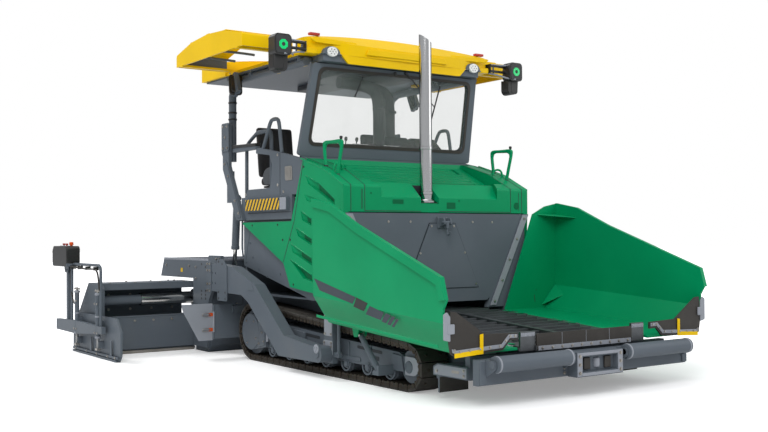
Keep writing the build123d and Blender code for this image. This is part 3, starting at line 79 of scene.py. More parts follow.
class Value:
    """A shader socket that can be written in sums and products."""

    def __init__(self, finish, socket):
        self.finish = finish
        self.socket = socket

    def _maths(self, operation, first, second=None):
        values = [first] if second is None else [first, second]
        return self.finish.node("ShaderNodeMath", {"operation": operation}, dict(enumerate(values)))

    def __add__(self, other):
        return self._maths("ADD", self, other)

    __radd__ = __add__

    def __rsub__(self, other):
        return self._maths("SUBTRACT", other, self)

    def __mul__(self, other):
        return self._maths("MULTIPLY", self, other)

    __rmul__ = __mul__

    def __truediv__(self, other):
        return self._maths("DIVIDE", self, other)

    def __gt__(self, other):
        return self._maths("GREATER_THAN", self, other)

    def wave(self):
        """Fraction part, for repeating stripes."""
        return self._maths("FRACT", self)

    def clipped(self):
        return self.finish.node("ShaderNodeMath", {"operation": "ADD", "use_clamp": True}, {0: self, 1: 0.0})


class Finish:
    """One material and the nodes behind it."""

    def __init__(self, name):
        self.material = bpy.data.materials.new(name)
        self.material.use_nodes = True
        self.tree = self.material.node_tree
        self.tree.nodes.clear()
        self.output = self.tree.nodes.new("ShaderNodeOutputMaterial")
        self.here = self.node("ShaderNodeTexCoord", {}, {}, "Object")

    def node(self, kind, settings, inputs, output=0):
        """Add a node, set its settings first, then its sockets, and give one output."""
        made = self.tree.nodes.new(kind)
        for key, value in settings.items():
            setattr(made, key, value)
        for key, value in inputs.items():
            if isinstance(value, Value):
                self.tree.links.new(value.socket, made.inputs[key])
            elif hasattr(value, "__len__") and made.inputs[key].type == "RGBA":
                made.inputs[key].default_value = (*value[:3], 1)
            else:
                made.inputs[key].default_value = value
        return Value(self, made.outputs[output])

    def noise(self, scale, detail=3.0, roughness=0.5, where=None):
        inputs = {"Vector": where or self.here, "Scale": scale, "Detail": detail, "Roughness": roughness}
        return self.node("ShaderNodeTexNoise", {}, inputs, 0)

    def stretched(self, factors):
        return self.node("ShaderNodeVectorMath", {"operation": "MULTIPLY"}, {0: self.here, 1: factors})

    def part(self, axis):
        return self.node("ShaderNodeSeparateXYZ", {}, {0: self.here}, axis)

    def mixed(self, factor, first, second):
        """Colour between two colours."""
        settings = {"data_type": "RGBA"}
        return self.node("ShaderNodeMix", settings, {0: factor, 6: first, 7: second}, 2)

    def between(self, value, low, high):
        """0 below low, 1 above high, smooth between."""
        settings = {"interpolation_type": "SMOOTHSTEP"}
        return self.node("ShaderNodeMapRange", settings, {0: value, 1: low, 2: high, 3: 0.0, 4: 1.0})

    def bump(self, height, distance, strength=1.0):
        inputs = {"Height": height, "Distance": distance, "Strength": strength}
        return self.node("ShaderNodeBump", {}, inputs)

    def surface(self, **sockets):
        names = {key.replace("_", " ").title().replace("Ior", "IOR"): value for key, value in sockets.items()}
        shader = self.node("ShaderNodeBsdfPrincipled", {}, names)
        self.tree.links.new(shader.socket, self.output.inputs[0])
        return self.material


def scaled(colour, factor):
    return tuple(channel * factor for channel in colour[:3])


def paint(name, colour, rough, dust):
    """Sprayed enamel: slight orange peel, uneven gloss, road dust low down and in patches."""
    f = Finish(name)
    clouds = f.noise(1.3, 5.0, 0.55)
    specks = f.noise(55.0, 2.0, 0.6)
    low = 1 - f.between(f.part(2), 0.05, 1.1)
    dirt = (f.between(clouds, 0.46, 0.78) * (low * 0.8 + 0.25) * dust * 2.2).clipped()
    base = f.mixed(f.between(clouds, 0.3, 0.7), scaled(colour, 0.94), scaled(colour, 1.05))
    base = f.mixed(dirt, base, (0.20, 0.185, 0.165))
    gloss = (f.between(specks, 0.3, 0.8) * 0.06 + dirt * 0.4 + rough).clipped()
    peel = f.noise(210.0, 2.0, 0.5)
    return f.surface(base_color=base, roughness=gloss, specular_ior_level=0.12, coat_weight=0.03,
                     coat_roughness=0.22, normal=f.bump(peel, 0.0006, 0.25))


def bare_steel(name, colour, rough=0.34, grain=(1.0, 18.0, 18.0)):
    """Worn or turned steel with directional scratches and darker patches."""
    f = Finish(name)
    streaks = f.noise(9.0, 4.0, 0.6, f.stretched(grain))
    patches = f.noise(3.2, 4.0, 0.6)
    base = f.mixed(f.between(patches, 0.35, 0.7), scaled(colour, 0.82), scaled(colour, 1.12))
    base = f.mixed(f.between(streaks, 0.62, 0.75), base, scaled(colour, 0.62))
    gloss = (f.between(streaks, 0.3, 0.7) * 0.16 + rough).clipped()
    return f.surface(base_color=base, metallic=1.0, roughness=gloss, normal=f.bump(streaks, 0.0008, 0.35))


def polished(name, centre, edge, rough):
    """Polished metal with faint wiper marks, and a painted reflection: bright where it faces the eye, darker
    where it turns away.
    """
    f = Finish(name)
    rings = f.noise(2.0, 3.0, 0.5, f.stretched((90.0, 3.0, 3.0)))
    # Painted reflection: the colour falls from centre to edge as the surface turns away from the eye.
    painted_reflection_falloff = f.node("ShaderNodeLayerWeight", {}, {"Blend": 0.5}, "Facing")
    base = f.mixed(f.between(painted_reflection_falloff, 0.25, 0.85), centre, edge)
    base = f.mixed(f.between(rings, 0.45, 0.75) * 0.25, base, scaled(centre, 0.7))
    return f.surface(base_color=base, metallic=1.0,
                     roughness=(f.between(rings, 0.3, 0.8) * 0.08 + rough).clipped())


def rubber(name, colour, rough=0.72, dust=0.3):
    """Moulded rubber: fine grain, grey bloom and dust."""
    f = Finish(name)
    clouds = f.noise(5.0, 5.0, 0.6)
    grain = f.noise(190.0, 3.0, 0.6)
    bloom = (f.between(clouds, 0.45, 0.75) * dust).clipped()
    base = f.mixed(bloom, colour, (0.13, 0.12, 0.105))
    gloss = (f.between(grain, 0.3, 0.8) * 0.12 + rough).clipped()
    return f.surface(base_color=base, roughness=gloss, normal=f.bump(grain, 0.0012, 0.5))


def plastic(name, colour, rough):
    """Moulded plastic with a fine leather-like grain."""
    f = Finish(name)
    pits = f.noise(260.0, 2.0, 0.5)
    clouds = f.noise(3.0, 4.0, 0.5)
    base = f.mixed(f.between(clouds, 0.35, 0.7), scaled(colour, 0.9), scaled(colour, 1.12))
    gloss = (f.between(pits, 0.3, 0.8) * 0.10 + rough).clipped()
    return f.surface(base_color=base, roughness=gloss, normal=f.bump(pits, 0.0007, 0.4))


def glass(name):
    """Tinted safety glass with a faint film of dust."""
    f = Finish(name)
    clouds = f.noise(2.4, 5.0, 0.6)
    film = f.between(clouds, 0.4, 0.8)
    return f.surface(base_color=f.mixed(film, (0.36, 0.42, 0.40), (0.44, 0.48, 0.46)),
                     roughness=(film * 0.06 + 0.04).clipped(), alpha=(film * 0.03 + 0.13).clipped())


def glow(name, colour, strength):
    """A lit lens or lamp ring."""
    f = Finish(name)
    cells = f.node("ShaderNodeTexVoronoi", {}, {"Vector": f.here, "Scale": 90.0})
    tint = f.mixed(f.between(cells, 0.1, 0.7), colour, scaled(colour, 0.7))
    return f.surface(base_color=tint, roughness=0.2, emission_color=tint, emission_strength=strength)


def cloth(name, colour):
    """Woven seat cover."""
    f = Finish(name)
    warp = f.node("ShaderNodeTexWave", {"bands_direction": "X"}, {"Vector": f.here, "Scale": 160.0})
    weft = f.node("ShaderNodeTexWave", {"bands_direction": "Z"}, {"Vector": f.here, "Scale": 160.0})
    weave = warp * 0.5 + weft * 0.5
    wear = f.noise(6.0, 4.0, 0.6)
    base = f.mixed(f.between(weave, 0.3, 0.7), scaled(colour, 0.8), scaled(colour, 1.35))
    base = f.mixed(f.between(wear, 0.5, 0.8) * 0.3, base, scaled(colour, 2.0))
    return f.surface(base_color=base, roughness=(f.between(wear, 0.3, 0.8) * 0.08 + 0.86).clipped(),
                     sheen_weight=0.25, sheen_roughness=0.5, normal=f.bump(weave, 0.0005, 0.6))


def hazard(name, dark, light, pitch):
    """Slanted warning stripes for a plate that faces sideways."""
    f = Finish(name)
    across = (f.part(1) * 1.0 + f.part(2) * 0.62) / pitch
    stripe = across.wave() > 0.5
    scuff = f.noise(30.0, 4.0, 0.6)
    base = f.mixed(stripe, dark, light)
    base = f.mixed(f.between(scuff, 0.62, 0.8) * 0.35, base, (0.12, 0.12, 0.11))
    return f.surface(base_color=base, roughness=(f.between(scuff, 0.3, 0.8) * 0.1 + 0.38).clipped())


# ------------------------------------------------------------------ mesh helpers


def at(x, y, z):
    """A point given in millimetres from the middle of the tracks, in the frame's metres."""
    return Vector((x / 1000, y / 1000 - MIDDLE, z / 1000))


def piece(name, bm, material, body, slot, bevel=0.0, smooth=30.0, replaces=()):
    """Turn a bmesh into a piece that rides on a body."""
    bmesh.ops.recalc_face_normals(bm, faces=bm.faces)
    mesh = bpy.data.meshes.new(name)
    bm.to_mesh(mesh)
    bm.free()
    made = bpy.data.objects.new(name, mesh)
    bpy.context.scene.collection.objects.link(made)
    mesh.materials.append(material)
    if bevel:
        rounding = made.modifiers.new("edges", "BEVEL")
        rounding.width = bevel
        rounding.segments = 2
        rounding.limit_method = "ANGLE"
        rounding.angle_limit = math.radians(40)
        rounding.harden_normals = False
    shade(made, smooth)
    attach(made, body)
    if replaces:
        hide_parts(*replaces)
    return made


def shade(made, angle=30.0):
    """Smooth shading apart from edges sharper than the angle."""
    made.data.shade_smooth()
    bm = bmesh.new()
    bm.from_mesh(made.data)
    limit = math.radians(angle)
    for edge in bm.edges:
        sharp = len(edge.link_faces) != 2 or edge.calc_face_angle(0) > limit
        edge.smooth = not sharp
    bm.to_mesh(made.data)
    bm.free()


def rect(a0, a1, b0, b1):
    """Corners of a rectangle in two coordinates."""
    return [(a0, b0), (a1, b0), (a1, b1), (a0, b1)]


def sided(sign, points):
    """Points of the left side, carried over to the side of the sign."""
    return [(sign * point[0], *point[1:]) for point in points]


def slab(bm, corners, push):
    """Add a prism: flat corners, pushed along a vector."""
    low = [bm.verts.new(corner) for corner in corners]
    top = [bm.verts.new(corner + push) for corner in corners]
    bm.faces.new(low)
    bm.faces.new(list(reversed(top)))
    count = len(corners)
    for i in range(count):
        j = (i + 1) % count
        bm.faces.new((low[j], low[i], top[i], top[j]))


def across(bm, corners, x0, x1):
    """Prism across the machine from (y, z) corners, all in millimetres."""
    slab(bm, [at(x0, y, z) for y, z in corners], Vector(((x1 - x0) / 1000, 0, 0)))


def along(bm, corners, y0, y1):
    """Prism along the machine from (x, z) corners."""
    slab(bm, [at(x, y0, z) for x, z in corners], Vector((0, (y1 - y0) / 1000, 0)))


def upright(bm, corners, z0, z1):
    """Prism upwards from (x, y) corners."""
    slab(bm, [at(x, y, z0) for x, y in corners], Vector((0, 0, (z1 - z0) / 1000)))


def block(bm, x, y, z):
    upright(bm, rect(x[0], x[1], y[0], y[1]), z[0], z[1])


def skin(bm, rings, hollow=False):
    """Join rings of corners to each other. A hollow skin joins the last to the first, others get end caps."""
    following = rings[1:] + rings[:1] if hollow else rings[1:]
    for a, b in zip(rings, following):
        for i in range(len(a)):
            j = (i + 1) % len(a)
            bm.faces.new((a[i], a[j], b[j], b[i]))
    if not hollow:
        bm.faces.new(rings[0])
        bm.faces.new(list(reversed(rings[-1])))


def turned(bm, start, end, profile, count=24, hollow=False):
    """Turn a profile of (distance along in 0..1, radius mm) about the line from start to end.

    A hollow one joins the profile's end to its start, which leaves the middle open.
    """
    first, last = at(*start), at(*end)
    aim = (last - first)
    side = aim.orthogonal().normalized()
    other = aim.normalized().cross(side)
    rings = []
    for share, radius in profile:
        middle = first + aim * share
        ring = []
        for i in range(count):
            turn = 2 * math.pi * i / count
            ring.append(
                bm.verts.new(middle + (side * math.cos(turn) + other * math.sin(turn)) * radius / 1000)
            )
        rings.append(ring)
    skin(bm, rings, hollow)


def bar(bm, start, end, radius, count=12):
    turned(bm, start, end, [(0, radius), (1, radius)], count)


def bolts(bm, places, normal, radius=11.0, height=8.0):
    """Hexagon heads on washers at places in millimetres, standing along a normal."""
    out = Vector(normal).normalized() * height
    for place in places:
        foot = Vector(place)
        washer = foot + out * 0.3
        turned(bm, foot, washer, [(0, radius * 1.45), (1, radius * 1.45)], 10)
        turned(bm, washer, foot + out * 1.3, [(0, radius), (0.85, radius), (1, radius * 0.85)], 6)


def bent(name, places, radius, roundness, steps):
    """A smooth round curve through places in the frame's metres."""
    curve = bpy.data.curves.new(name, "CURVE")
    curve.dimensions = "3D"
    curve.bevel_depth = radius
    curve.bevel_resolution = roundness
    curve.resolution_u = steps
    curve.use_fill_caps = True
    spline = curve.splines.new("NURBS")
    spline.points.add(len(places) - 1)
    for target, place in zip(spline.points, places):
        target.co = (*place, 1)
    spline.order_u = 3
    spline.use_endpoint_u = True
    return curve


def tubes(bm, routes, radius):
    """Add bent tubes to a bmesh, one for each route in millimetres."""
    for route in routes:
        curve = bent("path", [at(*place) for place in route], radius / 1000, 3, 6)
        holder = bpy.data.objects.new("path", curve)
        mesh = bpy.data.meshes.new_from_object(holder)
        bpy.data.objects.remove(holder)
        bpy.data.curves.remove(curve)
        bm.from_mesh(mesh)
        bpy.data.meshes.remove(mesh)


# ------------------------------------------------------------------ settings


class PaverFinishes(bpy.types.PropertyGroup):
    body: FloatVectorProperty(name="Body colour", description="Hood, side panels and hopper wings",
                              subtype="COLOR", size=3, default=(0.0, 0.30, 0.115))
    roof: FloatVectorProperty(name="Roof colour", description="Roof shell and awnings",
                              subtype="COLOR", size=3, default=(0.88, 0.56, 0.0))
    frame: FloatVectorProperty(name="Frame colour", description="Tractor frame, tow arms and screed",
                               subtype="COLOR", size=3, default=(0.118, 0.140, 0.165))
    plates: FloatVectorProperty(name="Plate colour", description="Lighter grey plates and brackets",
                                subtype="COLOR", size=3, default=(0.31, 0.33, 0.37))


class PaverStage(bpy.types.PropertyGroup):
    lens: FloatProperty(name="Lens", description="Focal length", default=47.16, unit="CAMERA")
    azimuth: FloatProperty(name="Azimuth", description="Angle round the machine from its front",
                           subtype="ANGLE", default=math.radians(-35.09))
    elevation: FloatProperty(name="Elevation", description="Angle above the horizon",
                             subtype="ANGLE", default=math.radians(-1.16))
    roll: FloatProperty(name="Roll", description="Turn about the view line", subtype="ANGLE",
                        default=math.radians(-0.34))


def look():
    return bpy.context.scene.paver_finishes


LIBRARY = {}


def finish_of(name):
    """Make each finish once, from the settings."""
    if name not in LIBRARY:
        LIBRARY[name] = RECIPES[name]()
    return LIBRARY[name]


RECIPES = {
    "body": lambda: paint("green_enamel", look().body, 0.34, 0.015),
    # A darker copy of the body green: painted shade for the scoops, hood recesses and louvre gaps.
    "body_painted_shade": lambda: paint("green_painted_shade", scaled(look().body, 0.45), 0.42, 0.015),
    "roof": lambda: paint("yellow_shell", look().roof, 0.34, 0.01),
    "frame": lambda: paint("frame_grey", look().frame, 0.40, 0.10),
    "plates": lambda: paint("plate_grey", look().plates, 0.40, 0.08),
    "dark": lambda: paint("dark_grey", (0.045, 0.05, 0.057), 0.45, 0.08),
    "band": lambda: paint("band_grey", (0.06, 0.07, 0.085), 0.42, 0.02),
    "yellow": lambda: paint("marker_yellow", look().roof, 0.40, 0.04),
    "orange": lambda: paint("latch_orange", (0.72, 0.10, 0.02), 0.42, 0.04),
    "hopper": lambda: bare_steel("worn_plate", (0.16, 0.17, 0.18), 0.42, (14.0, 1.0, 14.0)),
    "steel": lambda: bare_steel("bare_steel", (0.42, 0.40, 0.37), 0.32),
    "shoes": lambda: bare_steel("track_steel", (0.10, 0.085, 0.07), 0.55),
    "pipe": lambda: polished("exhaust_steel", (0.66, 0.66, 0.66), (0.10, 0.10, 0.105), 0.12),
    "chrome": lambda: polished("hard_chrome", (0.74, 0.73, 0.70), (0.13, 0.13, 0.13), 0.10),
    "track": lambda: rubber("track_rubber", (0.034, 0.029, 0.024), 0.62),
    "rubber": lambda: rubber("flap_rubber", (0.030, 0.026, 0.022), 0.60, 0.12),
    "black": lambda: plastic("black_plastic", (0.014, 0.014, 0.014), 0.42),
    "desk": lambda: plastic("desk_plastic", (0.028, 0.030, 0.032), 0.55),
    "pod": lambda: plastic("grey_plastic", (0.055, 0.062, 0.07), 0.5),
    "red": lambda: plastic("red_knob", (0.45, 0.03, 0.02), 0.35),
    "cloth": lambda: cloth("seat_cloth", (0.020, 0.020, 0.022)),
    "glass": lambda: glass("tinted_glass"),
    "lens": lambda: glow("lamp_lens", (0.85, 0.86, 0.84), 0.15),
    "ring": lambda: glow("signal_ring", (0.0, 0.55, 0.15), 0.55),
    "hazard": lambda: hazard("warning_stripes", (0.02, 0.02, 0.02), (0.80, 0.48, 0.0), 0.075),
    "iron": lambda: rubber("cast_block", (0.05, 0.05, 0.055), 0.6, 0.2),
}

NODE_FINISH = {
    "main_frame": "frame", "track_frames": "frame", "tilt_feet": "frame", "hopper_floor": "hopper",
    "hopper_rear_wall": "frame", "tractor_body": "frame", "engine_block": "iron", "hood": "body",
    "side_panels": "body", "platform": "frame", "platform_sides": "frame", "seats": "cloth",
    "console": "desk", "roof_posts": "frame", "windscreen_frame": "frame", "windscreen_glass": "glass",
    "roof": "roof", "roof_frame": "frame", "lamp_masts": "black", "exhaust_pipe": "pipe",
    "front_apron": "rubber", "push_bar": "frame", "tow_guides": "frame", "tow_arms": "frame",
    "screed_body": "frame", "screed_deck": "frame", "auger_carrier": "frame", "lift_barrels": "frame",
    "lift_rods": "chrome", "track": "track", "awning": "roof", "wing": "body", "wing_flap": "rubber",
    "wing_barrel": "frame", "wing_rod": "chrome", "push_roller": "frame", "auger": "steel",
    "tunnel_plate": "plates", "extension": "frame", "tube_stage": "chrome", "end_gate": "frame"
}


# ------------------------------------------------------------------ operators


class PAVER_OT_finishes(bpy.types.Operator):
    """Give every solid of the frame its finish"""

    bl_idname = "paver.finishes"
    bl_label = "Finishes"

    def execute(self, context):
        for name, node in NODES.items():
            key = name.removesuffix("_left").removesuffix("_right")
            node.data.materials.clear()
            node.data.materials.append(finish_of(NODE_FINISH[key]))
            shade(node, 35)
        return {"FINISHED"}


class PAVER_OT_stage(bpy.types.Operator):
    """Camera, pale floor and soft lamps"""

    bl_idname = "paver.stage"
    bl_label = "Stage"

    def execute(self, context):
        scene = context.scene
        setting = scene.paver_stage
        camera = bpy.data.objects.new("camera", bpy.data.cameras.new("camera"))
        scene.collection.objects.link(camera)
        camera.data.sensor_width = 36.0
        camera.data.lens = setting.lens
        camera.data.clip_start = 0.1
        camera.data.clip_end = 300.0
        turn, rise = setting.azimuth, setting.elevation
        back = Vector((math.sin(turn) * math.cos(rise), -math.cos(turn) * math.cos(rise), math.sin(rise)))
        aim = (-back).to_track_quat("-Z", "Y").to_matrix() @ Matrix.Rotation(setting.roll, 3, "Z")
        camera.matrix_world = Matrix.Translation(at(*CAMERA_PLACE)) @ aim.to_4x4()
        scene.camera = camera
        bm = bmesh.new()
        reach = FLOOR_REACH
        bm.faces.new([bm.verts.new((x, y, 0.0)) for x, y in rect(-reach, reach, -reach, reach)])
        mesh = bpy.data.meshes.new("floor")
        bm.to_mesh(mesh)
        bm.free()
        floor = bpy.data.objects.new("floor", mesh)
        scene.collection.objects.link(floor)
        mesh.materials.append(self.floor_finish())
        self.world(scene)
        for name, place, size, power in LAMPS:
            lamp = bpy.data.lights.new(name, "AREA")
            lamp.energy = power
            lamp.size = size
            holder = bpy.data.objects.new(name, lamp)
            scene.collection.objects.link(holder)
            holder.location = place
            holder.rotation_euler = (LAMP_AIM - Vector(place)).to_track_quat("-Z", "Y").to_euler()
        scene.view_settings.view_transform = "Standard"
        return {"FINISHED"}

    def floor_finish(self):
        """White to the eye and in gloss away from the machine, with a painted shadow where that glow dims
        near it; a plain pale floor to everything else.
        """
        f = Finish("studio_floor")
        clouds = f.noise(0.4, 2.0, 0.5)
        tone = f.mixed(f.between(clouds, 0.3, 0.7), (0.90, 0.90, 0.90), (0.92, 0.92, 0.92))
        shader = f.node("ShaderNodeBsdfDiffuse", {}, {"Color": tone})
        white = f.node("ShaderNodeEmission", {}, {"Color": (1, 1, 1), "Strength": 1.0})
        rays = f.node("ShaderNodeLightPath", {}, {}, "Is Camera Ray")
        gloss = f.node("ShaderNodeLightPath", {}, {}, "Is Glossy Ray")
        through = f.node("ShaderNodeLightPath", {}, {}, "Is Transmission Ray")
        # Painted shadow: the floor's glow is dimmer near the machine, over an oval stretched along it, so the
        # floor reads grey there.
        away = f.node("ShaderNodeVectorMath", {"operation": "LENGTH"}, {0: f.stretched((1.0, 0.74, 1.0))},
                      "Value")
        glow_outside_painted_shadow = f.between(away, 2.2, 6.5) * 0.72 + 0.28
        seen = (rays + through + gloss * 0.2).clipped() * glow_outside_painted_shadow
        unlit = f.node("ShaderNodeEmission", {}, {"Color": (0, 0, 0), "Strength": 0.0})
        lift = f.node("ShaderNodeMixShader", {}, {0: seen, 1: unlit, 2: white})
        both = f.node("ShaderNodeAddShader", {}, {0: shader, 1: lift})
        f.tree.links.new(both.socket, f.output.inputs[0])
        return f.material

    def world(self, scene):
        world = bpy.data.worlds.new("studio")
        scene.world = world
        world.use_nodes = True
        tree = world.node_tree
        tree.nodes.clear()
        out = tree.nodes.new("ShaderNodeOutputWorld")
        rays = tree.nodes.new("ShaderNodeLightPath")
        soft = tree.nodes.new("ShaderNodeBackground")
        seen = tree.nodes.new("ShaderNodeBackground")
        mix = tree.nodes.new("ShaderNodeMixShader")
        soft.inputs[0].default_value = (0.95, 0.97, 1.0, 1)
        soft.inputs[1].default_value = 0.50
        seen.inputs[0].default_value = (1, 1, 1, 1)
        seen.inputs[1].default_value = 1.0
        tree.links.new(rays.outputs["Is Camera Ray"], mix.inputs[0])
        tree.links.new(soft.outputs[0], mix.inputs[1])
        tree.links.new(seen.outputs[0], mix.inputs[2])
        tree.links.new(mix.outputs[0], out.inputs[0])


# ------------------------------------------------------------------ shapes shared by the groups


def handed(build, name, material, body, slot, **options):
    """Build a piece at each side from a function of a bmesh and the side's sign."""
    made = []
    for side, sign in SIDES:
        bm = bmesh.new()
        build(bm, sign)
        rides = body if body in MIDDLE_BODIES else f"{body}_{side}"
        made.append(piece(f"{name}_{side}", bm, finish_of(material), rides, slot, **options))
    return made


def central(build, name, material, body, slot, **options):
    """Build one piece from a function of a bmesh."""
    bm = bmesh.new()
    build(bm)
    return piece(name, bm, finish_of(material), body, slot, **options)


def floor_height(y):
    """Top of the sloping hopper floor, in millimetres."""
    return FLOOR_REAR_Z + FLOOR_SLOPE * (y - FLOOR_REAR_Y)


def wing_face(y, z, sign):
    """A point on a wing's outer face."""
    rise = z - floor_height(y) + 12
    return at(sign * (WING_X + WING_LEAN * (rise - WING_FOOT) / WING_HEIGHT), y, z)


def on_wing(bm, corners, sign, thick=2.0):
    """A thin plate lying on a wing's outer face."""
    slab(bm, [wing_face(y, z, sign) for y, z in corners], Vector((sign * thick / 1000, 0, 0)))


def groove(bm, points, x, sign, width=7.0, thick=1.6):
    """A dark joint line on a side face, through (y, z) points."""
    for (y0, z0), (y1, z1) in zip(points, points[1:]):
        run = Vector((y1 - y0, z1 - z0)).normalized() * width / 2
        corners = [(y0 + run.y, z0 - run.x), (y1 + run.y, z1 - run.x), (y1 - run.y, z1 + run.x),
                   (y0 - run.y, z0 + run.x)]
        across(bm, corners, sign * x, sign * (x + thick))


def tread(bm, counts, corner, pitch, limit, height, bare=lambda x, y: False):
    """Rows of slanted bars on a deck, each second row shifted, apart from where the deck is bare."""
    for row in range(counts[0]):
        for column in range(counts[1]):
            x = corner[0] + column * 100 + (50 if row % 2 else 0)
            y = corner[1] + row * pitch
            if x > limit or bare(x, y):
                continue
            lean = 12 if (row + column) % 2 else -12
            outline = [(x - 14, y - lean), (x - 11, y - lean - 5), (x + 14, y + lean), (x + 11, y + lean + 5)]
            upright(bm, outline, height, height + 3)


def rounded(corners, radius, steps=4):
    """A flat outline with every corner turned."""
    result = []
    count = len(corners)
    for i, corner in enumerate(corners):
        here = Vector(corner)
        back = (Vector(corners[i - 1]) - here)
        ahead = (Vector(corners[(i + 1) % count]) - here)
        reach = min(radius, back.length * 0.45, ahead.length * 0.45)
        first, last = here + back.normalized() * reach, here + ahead.normalized() * reach
        for k in range(steps + 1):
            t = k / steps
            spot = first * (1 - t) ** 2 + here * 2 * t * (1 - t) + last * t ** 2
            result.append((spot.x, spot.y))
    return result


def circle(a, b, radius, count=20, start=0.0, sweep=360.0):
    """Points of a circle or an arc of it."""
    full = sweep >= 360.0
    steps = count if full else count + 1
    spots = []
    for i in range(steps):
        angle = math.radians(start + sweep * i / count)
        spots.append((a + radius * math.cos(angle), b + radius * math.sin(angle)))
    return spots


def loop_place(travel, inset):
    """(y, z) of a point inside the track's outer line, after some travel along it."""
    rear_arc = SPROCKET_R * (math.pi + LOOP_LEAN)
    if travel < LOOP_SPACING:
        return IDLER_Y + travel, inset
    travel -= LOOP_SPACING
    reach = SPROCKET_R - inset
    if travel < rear_arc:
        angle = travel / SPROCKET_R - math.pi / 2
        return SPROCKET_Y + reach * math.cos(angle), SPROCKET_R + reach * math.sin(angle)
    travel -= rear_arc
    top = math.pi / 2 + LOOP_LEAN
    if travel < LOOP_SPACING:
        y = SPROCKET_Y + reach * math.cos(top) - travel * math.sin(top)
        return y, SPROCKET_R + reach * math.sin(top) + travel * math.cos(top)
    angle = top + (travel - LOOP_SPACING) / IDLER_R
    reach = IDLER_R - inset
    return IDLER_Y + reach * math.cos(angle), IDLER_R + reach * math.sin(angle)


def loop_length():
    return 2 * LOOP_SPACING + SPROCKET_R * (math.pi + LOOP_LEAN) + IDLER_R * (math.pi - LOOP_LEAN)


# ------------------------------------------------------------------ running gear


